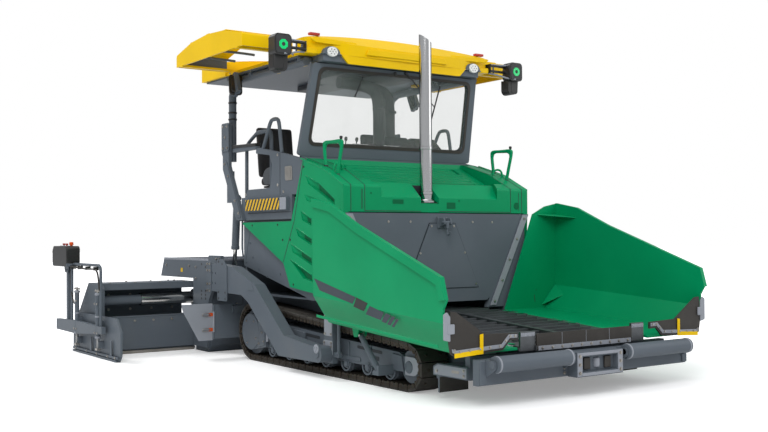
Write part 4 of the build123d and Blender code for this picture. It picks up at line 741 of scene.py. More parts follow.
class PAVER_OT_tracks(bpy.types.Operator):
    """Chain links, pins and shoe edges of both tracks, roller caps and final drives"""

    bl_idname = "paver.tracks"
    bl_label = "Tracks"

    FRAME_FACE = 1215        # outer face of the track frame, from the middle
    LINK = [(0.06, 36), (0.03, 52), (0.10, 66), (0.24, 73), (0.40, 62), (0.60, 62), (0.76, 73), (0.90, 66),
            (0.97, 52), (0.94, 36)]
    PAD = [(0.05, 0), (0.95, 0), (0.975, 7), (0.96, 26), (0.04, 26), (0.025, 7)]
    PITCHES = 56
    ROLLERS = [(-1200 + 375 * i, 155) for i in range(7)]

    def execute(self, context):
        for side, sign in SIDES:
            self.chain(side, sign)
        handed(self.shoes, "track_shoe_edges", "shoes", "chassis", "wear_steel", smooth=20)
        handed(self.pad_bolts, "track_pad_bolts", "shoes", "chassis", "wear_steel")
        handed(self.caps, "roller_caps", "frame", "chassis", "grey_paint")
        handed(self.cover, "final_drive_cover", "frame", "chassis", "grey_paint", bevel=0.004)
        handed(self.cover_bolts, "final_drive_bolts", "steel", "chassis", "wear_steel")
        handed(self.guard, "idler_guard", "plates", "chassis", "light_grey_paint", bevel=0.003)
        handed(self.guards, "roller_guards", "frame", "chassis", "grey_paint")
        handed(self.drive_plate, "final_drive_plates", "plates", "chassis", "light_grey_paint", bevel=0.003)
        handed(self.frame_boxes, "track_frame_boxes", "frame", "chassis", "grey_paint", bevel=0.006)
        handed(self.slots, "track_frame_slot_shade", "dark", "chassis", "dark_paint")
        return {"FINISHED"}

    def spot(self, pitch, share, inset):
        length = loop_length()
        return loop_place(((pitch + share) / self.PITCHES * length) % length, inset)

    def chain(self, side, sign):
        """Rubber pads on steel shoes, with a row of chain links along each edge."""
        pads, links, pins = bmesh.new(), bmesh.new(), bmesh.new()
        for pitch in range(self.PITCHES):
            across(pads, [self.spot(pitch, share, inset) for share, inset in self.PAD], sign * 941,
                   sign * 1249)
            link = [self.spot(pitch, share, inset) for share, inset in self.LINK]
            for inner, outer in ((946, 962), (1226, 1244)):
                across(links, link, sign * inner, sign * outer)
            # Painted shade: a black square in the hollow at the middle of each outer link, built in the pins
            # bmesh.
            hollow = [
                self.spot(pitch, share, inset)
                for share, inset in ((0.42, 44), (0.58, 44), (0.58, 56), (0.42, 56))
            ]
            across(pins, hollow, sign * 1244, sign * 1245)
            for share in (0.24, 0.76):
                y, z = self.spot(pitch, share, 58)
                turned(links, (sign * 950, y, z), (sign * 1248, y, z), [(0, 13), (0.99, 13), (1, 9)], 10)
        belt = piece(f"track_pads_{side}", pads, finish_of("track"), "chassis", "track_rubber", bevel=0.003)
        piece(f"track_links_{side}", links, finish_of("shoes"), "chassis", "wear_steel", smooth=40)
        piece(f"track_hollow_shade_{side}", pins, finish_of("black"), "chassis", "wear_steel")
        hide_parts(f"track_{side}")

    def shoes(self, bm, sign):
        """Steel shoe plate between each rubber pad and the chain."""
        for pitch in range(self.PITCHES):
            corners = [
                self.spot(pitch, share, inset)
                for share, inset in ((0.03, 26), (0.97, 26), (0.97, 36), (0.03, 36))
            ]
            across(bm, corners, sign * 938, sign * 1250)

    def pad_bolts(self, bm, sign):
        for pitch in range(self.PITCHES):
            y, z = self.spot(pitch, 0.5, 0)
            inner_y, inner_z = self.spot(pitch, 0.5, 20)
            out = Vector((0, y - inner_y, z - inner_z)).normalized()
            if z < 30:
                continue
            for x in (1010, 1175):
                foot = Vector((sign * x, y, z)) - out * 3
                turned(bm, foot, foot + out * 6, [(0, 14), (0.8, 14), (1, 10)], 8)

    def caps(self, bm, sign):
        for y, z in self.ROLLERS:
            turned(bm, (sign * 1213, y, z), (sign * 1234, y, z),
                   [(0, 46), (0.4, 46), (0.5, 34), (0.9, 34), (1, 28)], 20)
            for k in range(4):
                angle = math.radians(45 + 90 * k)
                bolts(bm, [(sign * 1221, y + 40 * math.cos(angle), z + 40 * math.sin(angle))], (sign, 0, 0),
                      5, 5)
        turned(bm, (sign * 1213, IDLER_Y, IDLER_R), (sign * 1240, IDLER_Y, IDLER_R),
               [(0, 78), (0.3, 78), (0.45, 58), (0.8, 54), (1, 40)], 28)

    def cover(self, bm, sign):
        turned(bm, (sign * 1256, SPROCKET_Y, SPROCKET_R), (sign * 1268, SPROCKET_Y, SPROCKET_R),
               [(0, 205), (0.6, 205), (1, 198)], 48)
        plate = rounded([(1165, 205), (1330, 160), (1330, 500), (1240, 480), (1165, 455)], 30)
        across(bm, plate, sign * 1257, sign * 1264)

    def cover_bolts(self, bm, sign):
        places = []
        for angle in (0.9, 2.2, 3.6, 5.2):
            places.append(
                (sign * 1268, SPROCKET_Y + 150 * math.cos(angle), SPROCKET_R + 150 * math.sin(angle))
            )
        bolts(bm, places, (sign, 0, 0), 9, 7)
        bolts(bm, [(sign * 1264, y, z) for y, z in (
            (1190, 240), (1190, 430), (1225, 340), (1300, 210), (1300, 470)
        )], (sign, 0, 0), 9, 7)

    def guard(self, bm, sign):
        """D-shaped plate in front of the idler's end."""
        outline = [(-1560, 150)] + circle(-1560, 235, 85, 10, 270, -180)[1:] + [(-1440, 320), (-1440, 150)]
        across(bm, outline, sign * 1216, sign * 1228)

    def guards(self, bm, sign):
        """Curved guards that hang round the lower half of each roller."""
        for y, z in self.ROLLERS:
            ring = circle(y, z + 12, 88, 14, 180, 180) + list(reversed(circle(y, z + 12, 72, 14, 180, 180)))
            across(bm, ring, sign * self.FRAME_FACE, sign * 1229)

    def drive_plate(self, bm, sign):
        across(bm, rounded([(1086, 246), (1132, 240), (1132, 462), (1086, 456)], 8), sign * 1257, sign * 1265)

    def frame_boxes(self, bm, sign):
        """Covers, gussets and the grease gun's pocket on the side of the roller frame."""
        across(bm, rounded([(330, 300), (560, 316), (560, 424), (330, 404)], 16), sign * self.FRAME_FACE,
               sign * 1240)
        across(bm, rounded(rect(-700, -300, 196, 236), 10), sign * self.FRAME_FACE, sign * 1224)
        across(bm, [(-1420, 176), (-1250, 176), (-1210, 250), (-1250, 330), (-1390, 318)],
               sign * self.FRAME_FACE, sign * 1232)
        for y in (-880, -500, 700, 900):
            across(bm, [(y - 8, 205), (y + 8, 205), (y + 8, 380), (y - 8, 372)], sign * self.FRAME_FACE,
                   sign * 1226)

    def slots(self, bm, sign):
        # Painted shade: dark patches for the slots in the drive plate and the roller frame.
        across(bm, rounded([(1086, 470), (1160, 476), (1160, 512), (1086, 500)], 6), sign * 1257, sign * 1259)
        across(bm, rounded(rect(-1010, -900, 232, 272), 8), sign * self.FRAME_FACE, sign * 1217)
        across(bm, rounded([(-1060, 300), (-640, 322), (-640, 352), (-1060, 330)], 14),
               sign * self.FRAME_FACE, sign * 1216.5)
        across(bm, rounded([(60, 352), (520, 376), (520, 408), (60, 384)], 14), sign * self.FRAME_FACE,
               sign * 1216.5)


# ------------------------------------------------------------------ hopper and push bar


class PAVER_OT_hopper(bpy.types.Operator):
    """Bands, strips, bolts, markers, hinges and gussets of the hopper"""

    bl_idname = "paver.hopper"
    bl_label = "Hopper"

    BAND = [(-514, 1010), (-613, 899), (-1185, 799), (-1235, 861)]
    PANEL = [(-1246, 860), (-1428, 817), (-1364, 742), (-1198, 775)]
    BARS = [
        [(-1460, 795), (-1675, 748), (-1629, 679), (-1395, 717)],
        [(-1705, 744), (-1780, 729), (-1706, 657), (-1640, 670)],
        [(-1797, 725), (-1844, 714), (-1772, 642), (-1725, 652)],
        [(-1862, 706), (-1897, 699), (-1826, 630), (-1793, 637)],
    ]
    STRIP_BOLTS = 5

    def execute(self, context):
        handed(self.band, "wing_band", "band", "wing", "dark_paint")
        handed(self.dark_panel, "wing_panel", "black", "wing", "black_plastic")
        handed(self.stiffeners, "wing_stiffeners", "body", "wing", "green_paint", bevel=0.004)
        handed(self.gussets, "wing_gussets", "body", "wing", "green_paint", bevel=0.004)
        handed(self.front_latch, "wing_front_brackets", "plates", "wing", "light_grey_paint", bevel=0.003)
        handed(self.seal_strip, "sealing_strips", "plates", "chassis", "light_grey_paint", bevel=0.002)
        handed(self.seal_bolts, "sealing_strip_bolts", "steel", "chassis", "wear_steel")
        handed(self.flap_strip, "flap_strips", "plates", "wing", "light_grey_paint", bevel=0.002)
        handed(self.flap_bolts, "flap_bolts", "steel", "wing", "wear_steel")
        handed(self.marker, "corner_markers", "yellow", "wing", "yellow_paint", bevel=0.001)
        handed(self.floor_edge, "hinge_covers", "body", "chassis", "green_paint", bevel=0.003)
        handed(self.corner_strip, "corner_flap_strips", "plates", "chassis", "light_grey_paint", bevel=0.002)
        central(self.hatch_lines, "hatch_lines", "dark", "chassis", "dark_paint")
        central(self.hatch_bolts, "hatch_bolts", "steel", "chassis", "wear_steel")
        central(self.hook, "hopper_hook", "frame", "chassis", "grey_paint", bevel=0.004)
        central(self.apron_strip, "apron_strip", "plates", "front_apron", "light_grey_paint", bevel=0.002)
        central(self.apron_bolts, "apron_bolts", "steel", "front_apron", "wear_steel")
        return {"FINISHED"}

    def band(self, bm, sign):
        on_wing(bm, self.BAND, sign)
        for corners in self.BARS:
            on_wing(bm, corners, sign)

    def dark_panel(self, bm, sign):
        on_wing(bm, self.PANEL, sign)

    def stiffeners(self, bm, sign):
        """Folded edge along the wing's lower side."""
        on_wing(bm, [(-560, 640), (-2440, 505), (-2440, 505 + 26), (-560, 640 + 26)], sign, 10)

    def gussets(self, bm, sign):
        """Triangular gusset in the wing's rear top corner and a chamfer plate in the lower one."""
        slab(bm, [at(sign * 1330, -505, 1640), at(sign * 1615, -505, 1640), at(sign * 1625, -840, 1600)],
             Vector((0, 0, 0.012)))
        slab(bm, [at(sign * 1380, -506, 620), at(sign * 1590, -506, 840), at(sign * 1560, -700, 740)],
             Vector((0, -0.006, 0.010)))
        for k in range(3):
            y = -760 - 640 * k
            bar(bm, (sign * 1612, y, floor_height(y) + 240), (sign * 1612, y - 22, floor_height(y) + 240),
                9, 10)

    def front_latch(self, bm, sign):
        along(bm, rounded(
            sided(sign, [(1572, 560), (1640, 575), (1640, 780), (1606, 800), (1572, 760)]), 10
        ), -2530, -2519)
        along(bm, rounded(rect(sign * 1530, sign * 1600, 620, 700), 10), -2534, -2522)

    def strip_line(self, share):
        """Middle of the sealing strip, from its foot to its head."""
        return 697 + (1187 - 697) * share, 650 + 990 * share

    def seal_strip(self, bm, sign):
        foot, head = self.strip_line(0.0), self.strip_line(1.0)
        along(bm, sided(sign, [
            (foot[0] - 42, foot[1]), (foot[0] + 42, foot[1]), (head[0] + 42, head[1]),
            (head[0] - 42, head[1])
        ]), -466, -458)

    def seal_bolts(self, bm, sign):
        places = []
        for k in range(self.STRIP_BOLTS):
            x, z = self.strip_line(0.04 + 0.92 * k / (self.STRIP_BOLTS - 1))
            places.append((sign * x, -466, z))
        bolts(bm, places, (0, -1, 0), 11, 8)

    def flap_strip(self, bm, sign):
        """Clamping strip that follows the flap's cranked lower edge."""
        along(bm, sided(sign, [
            (845, 548), (932, 550), (1012, 474), (1500, 452), (1548, 470), (1552, 500), (1508, 486),
            (1022, 506), (940, 582), (845, 580)
        ]), -2525, -2519)

    def flap_bolts(self, bm, sign):
        spots = [(870, 564), (925, 566), (975, 530), (1040, 490), (1150, 485), (1260, 480), (1370, 475),
                 (1470, 471), (1528, 486)]
        bolts(bm, [(sign * x, -2525, z) for x, z in spots], (0, -1, 0), 9, 6)

    def marker(self, bm, sign):
        """Reflecting corner marker, an upright and a foot."""
        along(bm, sided(sign, [(1225, 606), (1262, 600), (1262, 478), (1530, 462), (1530, 425), (1225, 440)]),
              -2529, -2525)

    def floor_edge(self, bm, sign):
        """Rounded covers over the wing hinge between its knuckles."""
        front, rear = -2430, -517
        span = (rear - front) / 5
        for k in range(0, 5, 2):
            first, last = front + k * span + 12, front + (k + 1) * span - 12
            for share in (0.25, 0.75):
                y = first + (last - first) * share
                z = floor_height(y)
                block(bm, (sign * 742, sign * 786), (y - 60, y + 60), (z, z + 6))

    def corner_strip(self, bm, sign):
        along(bm, rect(sign * 615, sign * 775, 548, 580), -2493, -2490)
        bolts(bm, [(sign * x, -2493, 564) for x in (640, 695, 750)], (0, -1, 0), 9, 3)

    def hatch_lines(self, bm):
        edge = [(-497, 853), (-175, 1547), (175, 1547), (497, 853)]
        for (x0, z0), (x1, z1) in zip(edge + [edge[0]], edge[1:] + [edge[0], edge[1]]):
            run = Vector((x1 - x0, z1 - z0)).normalized() * 3
            along(bm, [
                (x0 + run.y, z0 - run.x), (x1 + run.y, z1 - run.x), (x1 - run.y, z1 + run.x),
                (x0 - run.y, z0 + run.x)
            ], -452, -450)

    def hatch_bolts(self, bm):
        places = [(x, -460, z) for x, z in (
            (-150, 1515), (150, 1515), (-455, 890), (455, 890), (-300, 1230), (300, 1230), (0, 890)
        )]
        places += [(x, -450, z) for x, z in (
            (-420, 1560), (420, 1560), (-700, 1560), (700, 1560), (-60, 1600), (60, 1600)
        )]
        bolts(bm, places, (0, -1, 0), 9, 5)

    def hook(self, bm):
        """Towing clevis with its pin and a hanging hook."""
        block(bm, (-78, 78), (-474, -458), (1495, 1610))
        for x in (-52, 34):
            across(bm, rounded([(-560, 1530), (-474, 1510), (-474, 1600), (-540, 1600)], 16), x, x + 18)
        bar(bm, (-66, -532, 1556), (66, -532, 1556), 13, 14)
        block(bm, (-20, 20), (-548, -516), (1490, 1560))
        tubes(bm, [[(0, -532, 1490), (0, -532, 1440), (0, -548, 1420), (0, -580, 1430), (0, -584, 1456)]], 11)

    def apron_strip(self, bm):
        block(bm, (-585, 585), (-2510, -2504), (421, 460))
        for x in (-300, 0, 300):
            block(bm, (x - 2, x + 2), (-2506, -2504), (462, 562))

    def apron_bolts(self, bm):
        bolts(bm, [(x, -2510, 440) for x in range(-540, 541, 120)], (0, -1, 0), 10, 6)


class PAVER_OT_push_bar(bpy.types.Operator):
    """Push bar centre, end brackets, roller ends and front brackets"""

    bl_idname = "paver.push_bar"
    bl_label = "Push bar"

    def execute(self, context):
        central(self.centre, "push_bar_centre", "plates", "push_bar", "light_grey_paint", bevel=0.004)
        central(self.rubber, "push_bar_buffers", "rubber", "push_bar", "black_rubber", bevel=0.006)
        central(self.fixings, "push_bar_bolts", "steel", "push_bar", "wear_steel")
        handed(self.ends, "push_bar_ends", "frame", "push_bar", "grey_paint", bevel=0.004)
        for side, sign in SIDES:
            bm = bmesh.new()
            for x in (372, 1190):
                turned(bm, (sign * (x - 9), -2650, 360), (sign * (x + 9), -2650, 360),
                       [(0, 69), (0.3, 71.5), (0.7, 71.5), (1, 69)], 36)
            piece(f"push_roller_rims_{side}", bm, finish_of("plates"), f"push_roller_{side}",
                  "light_grey_paint")
        handed(self.brackets, "front_brackets", "plates", "chassis", "light_grey_paint", bevel=0.004)
        handed(self.bracket_bolts, "front_bracket_bolts", "steel", "chassis", "wear_steel")
        handed(self.scraper_strips, "scraper_strips", "frame", "chassis", "grey_paint", bevel=0.002)
        handed(self.scraper_rubber, "track_scrapers", "rubber", "chassis", "black_rubber", bevel=0.003)
        return {"FINISHED"}

    def centre(self, bm):
        for x in (-286, 226):
            block(bm, (x, x + 60), (-2676, -2670), (186, 390))
        block(bm, (-226, 226), (-2676, -2670), (362, 390))
        block(bm, (-226, 226), (-2676, -2670), (186, 214))
        turned(bm, (0, -2616, 250), (0, -2616, 330), [(0, 30), (0.2, 34), (0.8, 34), (1, 30)], 20)

    def rubber(self, bm):
        for x in (-170, 90):
            block(bm, (x, x + 80), (-2640, -2622), (236, 340))

    def fixings(self, bm):
        spots = [(x, -2676, z) for x in (-256, 256) for z in (215, 288, 360)]
        spots += [(sign * x, -2561, z) for sign in (-1, 1) for x in (330, 1255) for z in (215, 260)]
        bolts(bm, spots, (0, -1, 0), 12, 8)

    def ends(self, bm, sign):
        along(bm, rounded(rect(sign * 1235, sign * 1300, 192, 388), 12), -2572, -2560)
        for x in (338, 1241):
            turned(bm, (sign * (x - 10), -2650, 360), (sign * (x + 4), -2650, 360),
                   [(0, 26), (0.4, 34), (1, 34)], 20)

    def brackets(self, bm, sign):
        plate = rounded([(-2352, 214), (-2352, 302), (-1975, 302), (-1915, 276), (-1915, 214)], 12)
        across(bm, plate, sign * 1262, sign * 1266)

    def bracket_bolts(self, bm, sign):
        bolts(bm, [(sign * 1266, y, z) for y, z in ((-2320, 280), (-2320, 235), (-1955, 245))],
              (sign, 0, 0), 11, 7)
        across(bm, rounded(rect(-2260, -2160, 248, 272), 11), sign * 1266, sign * 1267)

    def scraper_strips(self, bm, sign):
        block(bm, (sign * 945, sign * 1258), (-1999, -1990), (196, 228))
        bolts(bm, [(sign * x, -1999, 212) for x in (975, 1045, 1115, 1185, 1240)], (0, -1, 0), 9, 6)

    def scraper_rubber(self, bm, sign):
        block(bm, (sign * 942, sign * 1262), (-1994, -1988), (62, 200))


# ------------------------------------------------------------------ body panels and hood


class PAVER_OT_body(bpy.types.Operator):
    """Scoop louvres, joint lines, bolts, hood handles and the tub's rear doors"""

    bl_idname = "paver.body"
    bl_label = "Body panels"

    PANEL_FACE = 1240        # outer face of the side panels
    FRONT = -440             # front face of the hood
    EXHAUST = (-129, -340)   # the pipe's axis, seen from above
    SEAM = [(337, 2205), (537, 1578), (778, 1136)]
    SCOOPS = [
        [(280, 2050), (44, 1962), (-262, 1786), (-262, 1736), (-63, 1834), (225, 1966)],
        [(385, 1680), (190, 1598), (190, 1530), (356, 1588)],
        [(488, 1502), (188, 1388), (188, 1326), (445, 1416)],
        [(590, 1326), (188, 1187), (188, 1118), (556, 1240)],
        [(622, 1164), (188, 1010), (170, 950), (340, 975)],
    ]
    HOOD_TOP = [(-440, 1931), (-60, 2119), (400, 2251)]

    def execute(self, context):
        handed(self.scoop_painted_shade, "scoop_painted_shade", "body_painted_shade", "chassis", "green_paint")
        handed(self.scoop_edges, "scoop_edges", "body", "chassis", "green_paint", bevel=0.003)
        handed(self.seams, "panel_seams", "dark", "chassis", "dark_paint")
        handed(self.panel_bolts, "panel_bolts", "black", "chassis", "black_plastic")
        handed(self.brow, "fender_edges", "body", "chassis", "green_paint", bevel=0.004)
        handed(self.handles, "grab_handle_tubes", "body", "chassis", "green_paint", smooth=60)
        handed(self.knobs, "handle_knobs", "black", "chassis", "black_plastic")
        central(self.box_recess_shade, "hood_recess_shade", "body_painted_shade", "chassis", "green_paint", bevel=0.002)
        central(self.box_lines, "hood_box_lines", "dark", "chassis", "dark_paint")
        central(self.louvres, "hood_louvres", "body", "chassis", "green_paint", bevel=0.004)
        central(self.louvre_gap_shade, "hood_louvre_gaps", "body_painted_shade", "chassis", "green_paint")
        central(self.exhaust_well_shade, "exhaust_well_shade", "dark", "chassis", "dark_paint")
        central(self.exhaust, "exhaust_stack", "pipe", "chassis", "grey_paint", smooth=40,
                replaces=("exhaust_pipe",))
        central(self.exhaust_dark, "exhaust_soot_and_shade", "black", "chassis", "dark_paint")
        central(self.exhaust_clamp, "exhaust_clamp", "pipe", "chassis", "grey_paint")
        central(self.rear_doors, "rear_doors", "frame", "chassis", "grey_paint", bevel=0.006)
        central(self.rear_fittings, "rear_fittings", "black", "chassis", "black_plastic")
        handed(self.tub_bolts, "tub_bolts", "frame", "chassis", "grey_paint")
        handed(self.side_pipes, "side_pipes", "frame", "chassis", "grey_paint", smooth=60)
        return {"FINISHED"}

    def scoop_painted_shade(self, bm, sign):
        """Painted shade: a darker green sheet on the back wall at the deep front end of every scoop."""
        for corners in self.SCOOPS:
            front = min(y for y, z in corners)
            rear = max(y for y, z in corners)
            limit = front + (rear - front) * 0.62
            low = []
            for (y0, z0), (y1, z1) in zip(corners, corners[1:] + corners[:1]):
                if y0 <= limit:
                    low.append((y0, z0))
                if (y0 - limit) * (y1 - limit) < 0:
                    share = (limit - y0) / (y1 - y0)
                    low.append((limit, z0 + (z1 - z0) * share))
            across(bm, low, sign * 1203, sign * 1205)

    def scoop_edges(self, bm, sign):
        """Rolled lip above each scoop."""
        for corners in self.SCOOPS:
            (y0, z0), (y1, z1) = corners[0], corners[1]
            bar(bm, (sign * 1237, y0 + 12, z0 + 10), (sign * 1237, y1, z1 + 6), 7, 8)

    def seams(self, bm, sign):
        groove(bm, self.SEAM, self.PANEL_FACE, sign, 8)
        groove(bm, [(-395, 1020), (-395, 1650)], self.PANEL_FACE, sign, 6)
        groove(bm, [(600, 1583), (1768, 1583)], self.PANEL_FACE, sign, 6)
        for x in (984, 1152):
            for (y0, z0), (y1, z1) in zip(self.HOOD_TOP, self.HOOD_TOP[1:]):
                slab(bm, [at(sign * (x - 3), y0, z0), at(sign * (x + 3), y0, z0), at(sign * (x + 3), y1, z1),
                          at(sign * (x - 3), y1, z1)], Vector((0, 0, 0.002)))
            block(bm, (sign * (x - 3), sign * (x + 3)), (self.FRONT - 2, self.FRONT), (1668, 1931))

    def panel_bolts(self, bm, sign):
        bolts(bm, [(sign * self.PANEL_FACE, y, z) for y, z in (
            (789, 1379), (622, 1379), (-340, 1010), (80, 880), (560, 900), (330, 2150), (1500, 1545),
            (900, 1545)
        )], (sign, 0, 0), 9, 4)

    def brow(self, bm, sign):
        """Rolled outer edge of the fender, above the side panel."""
        for (y0, z0), (y1, z1) in zip(self.HOOD_TOP, self.HOOD_TOP[1:]):
            bar(bm, (sign * 1236, y0, z0 - 8), (sign * 1236, y1, z1 - 8), 9, 10)

    def handles(self, bm, sign):
        x = sign * 1150
        tubes(bm, [[
            (x, -190, 2040), (x, -230, 2180), (x, -285, 2360), (x, -270, 2386), (x, -100, 2383),
            (x, 45, 2391), (x, 62, 2370), (x, 48, 2250), (x, 30, 2140)
        ]], 18)
        tubes(bm, [[
            (x, -120, 2085), (x - sign * 4, -120, 2150), (x - sign * 60, -110, 2175),
            (x - sign * 120, -100, 2150), (x - sign * 122, -96, 2105)
        ]], 12)

    def knobs(self, bm, sign):
        turned(bm, (sign * 1150, -262, 2398), (sign * 1150, -262, 2432),
               [(0, 10), (0.3, 16), (0.8, 17), (1, 11)], 14)
        for y, z in ((-190, 2045), (30, 2146)):
            turned(bm, (sign * 1150, y, z - 6), (sign * 1150, y, z + 6), [(0, 26), (1, 24)], 16)

    def box_recess_shade(self, bm):
        # Painted shade: darker green patches for the recesses and round holes in the hood's front face.
        along(bm, rounded(rect(-640, -500, 1745, 1790), 6), self.FRONT - 2, self.FRONT)
        along(bm, rounded(rect(70, 190, 1700, 1768), 6), self.FRONT - 2, self.FRONT)
        along(bm, circle(-907, 1850, 11, 14), self.FRONT - 2, self.FRONT)
        along(bm, circle(240, 1786, 11, 14), self.FRONT - 2, self.FRONT)
        along(bm, circle(1072, 1742, 40, 24), self.FRONT - 3, self.FRONT)

    def box_lines(self, bm):
        for x0, x1 in ((-980, -272), (-33, 980)):
            block(bm, (x0, x1), (self.FRONT - 2, self.FRONT), (1668, 1674))
        for x in (-1010, -1025, 1105):
            block(bm, (x - 2, x + 2), (self.FRONT - 2, self.FRONT), (1690, 1890))

    def louvre_place(self, y):
        """Height of the sunk middle of the hood."""
        return 1890 + (y + 250) * (2195 - 1890) / 650

    def louvres(self, bm):
        """Angled covers over the ribs' ends, left of the exhaust, and fine ribs between."""
        for k in range(12):
            y = -60 + 36 * k
            z = self.louvre_place(y)
            reach = 900 - 18 * k
            across(bm, [(y, z), (y + 4, z + 16), (y + 15, z + 20), (y + 15, z + 4)], -reach,
                   120 if k < 3 else reach)
        for low, high in ((-950, -800), (800, 950)):
            upright_z = self.louvre_place(-60)
            slab(bm, [
                at(low, -60, upright_z + 8), at(high, -60, upright_z + 8),
                at(high, 380, self.louvre_place(380) + 8), at(low, 380, self.louvre_place(380) + 8)
            ], Vector((0, 0, 0.004)))

    def louvre_gap_shade(self, bm):
        # Painted shade: darker green strips in the gaps between the louvres.
        for k in range(11):
            y = -42 + 36 * k
            z = self.louvre_place(y)
            reach = 880 - 18 * k
            across(bm, [(y, z + 1), (y + 12, z + 6), (y + 12, z + 8), (y, z + 3)], -reach, reach)

    def exhaust_well_shade(self, bm):
        # Painted shade: dark grey plates for the floor and back wall of the pit round the pipe's foot.
        block(bm, (-270, -36), (-124, -120), (1762, 1960))
        block(bm, (-270, -36), (-424, -120), (1760, 1764))

    def exhaust(self, bm):
        """Thin-walled pipe, its mouth cut at a slant."""
        rings = []
        for radius, low, slanted in ((67, 1764, False), (67, 3560, True), (60, 3560, True),
                                     (60, 3300, False)):
            ring = []
            for k in range(48):
                angle = 2 * math.pi * k / 48
                drop = 46 * (1 + math.cos(angle + 0.5)) if slanted else 0
                ring.append(bm.verts.new(at(
                    self.EXHAUST[0] + radius * math.cos(angle), self.EXHAUST[1] + radius * math.sin(angle),
                    low - drop
                )))
            rings.append(ring)
        skin(bm, rings)

    def exhaust_dark(self, bm):
        # Black disc that closes the pipe below its mouth: soot, and painted shade for the pipe's dark inside.
        turned(bm, (*self.EXHAUST, 3302), (*self.EXHAUST, 3306), [(0, 59), (1, 59)], 32)

    def exhaust_clamp(self, bm):
        for z in (1850, 2330):
            turned(bm, (*self.EXHAUST, z), (*self.EXHAUST, z + 34),
                   [(0, 69), (0.1, 73), (0.9, 73), (1, 69)], 40)
        turned(bm, (*self.EXHAUST, 1766), (*self.EXHAUST, 1800), [(0, 96), (0.5, 96), (0.6, 80), (1, 70)], 40)

    def rear_doors(self, bm):
        for x0, x1 in ((-1120, -600), (-560, -20), (20, 560), (600, 1120)):
            along(bm, rounded(rect(x0, x1, 1130, 1560), 24), 1820, 1832)
        for x in (-1120, 1060):
            for z in (820, 930, 1040):
                block(bm, (x, x + 60), (1820, 1900), (z, z + 14))

    def rear_fittings(self, bm):
        for x in (-660, -500, 500, 660):
            along(bm, rounded(rect(x - 20, x + 20, 1320, 1400), 10), 1832, 1842)
        for x in (-420, -380, 380, 420):
            tubes(bm, [[(x, 1822, 1000), (x, 1880, 1000), (x, 1930, 960), (x, 1935, 860), (x, 1935, 745)]],
                  14)

    def tub_bolts(self, bm, sign):
        places = [(sign * 1180, y, z) for y, z in (
            (1668, 1340), (1600, 1180), (1450, 1040), (1250, 960), (950, 1000), (1760, 1120)
        )]
        bolts(bm, places, (sign, 0, 0), 10, 6)
        groove(bm, [(1640, 1560), (1790, 1090)], 1180, sign, 7, 3)

    def side_pipes(self, bm, sign):
        """Hydraulic lines and valve by the lift cylinder."""
        x = sign * 1150
        tubes(bm, [[(x, 1918, 1600), (x, 1921, 1420), (x, 1926, 1255), (x, 1900, 1180)], [
            (x - sign * 30, 1900, 1600), (x - sign * 30, 1902, 1420), (x - sign * 30, 1890, 1200)
        ]], 11)
        for z in (1290, 1340, 1390):
            turned(bm, (sign * 1102, 2205, z), (sign * 1102, 2262, z),
                   [(0, 12), (0.3, 20), (0.7, 20), (1, 12)], 12)
        block(bm, (sign * 1092, sign * 1122), (2190, 2215), (1270, 1410))


# ------------------------------------------------------------------ operator's stand


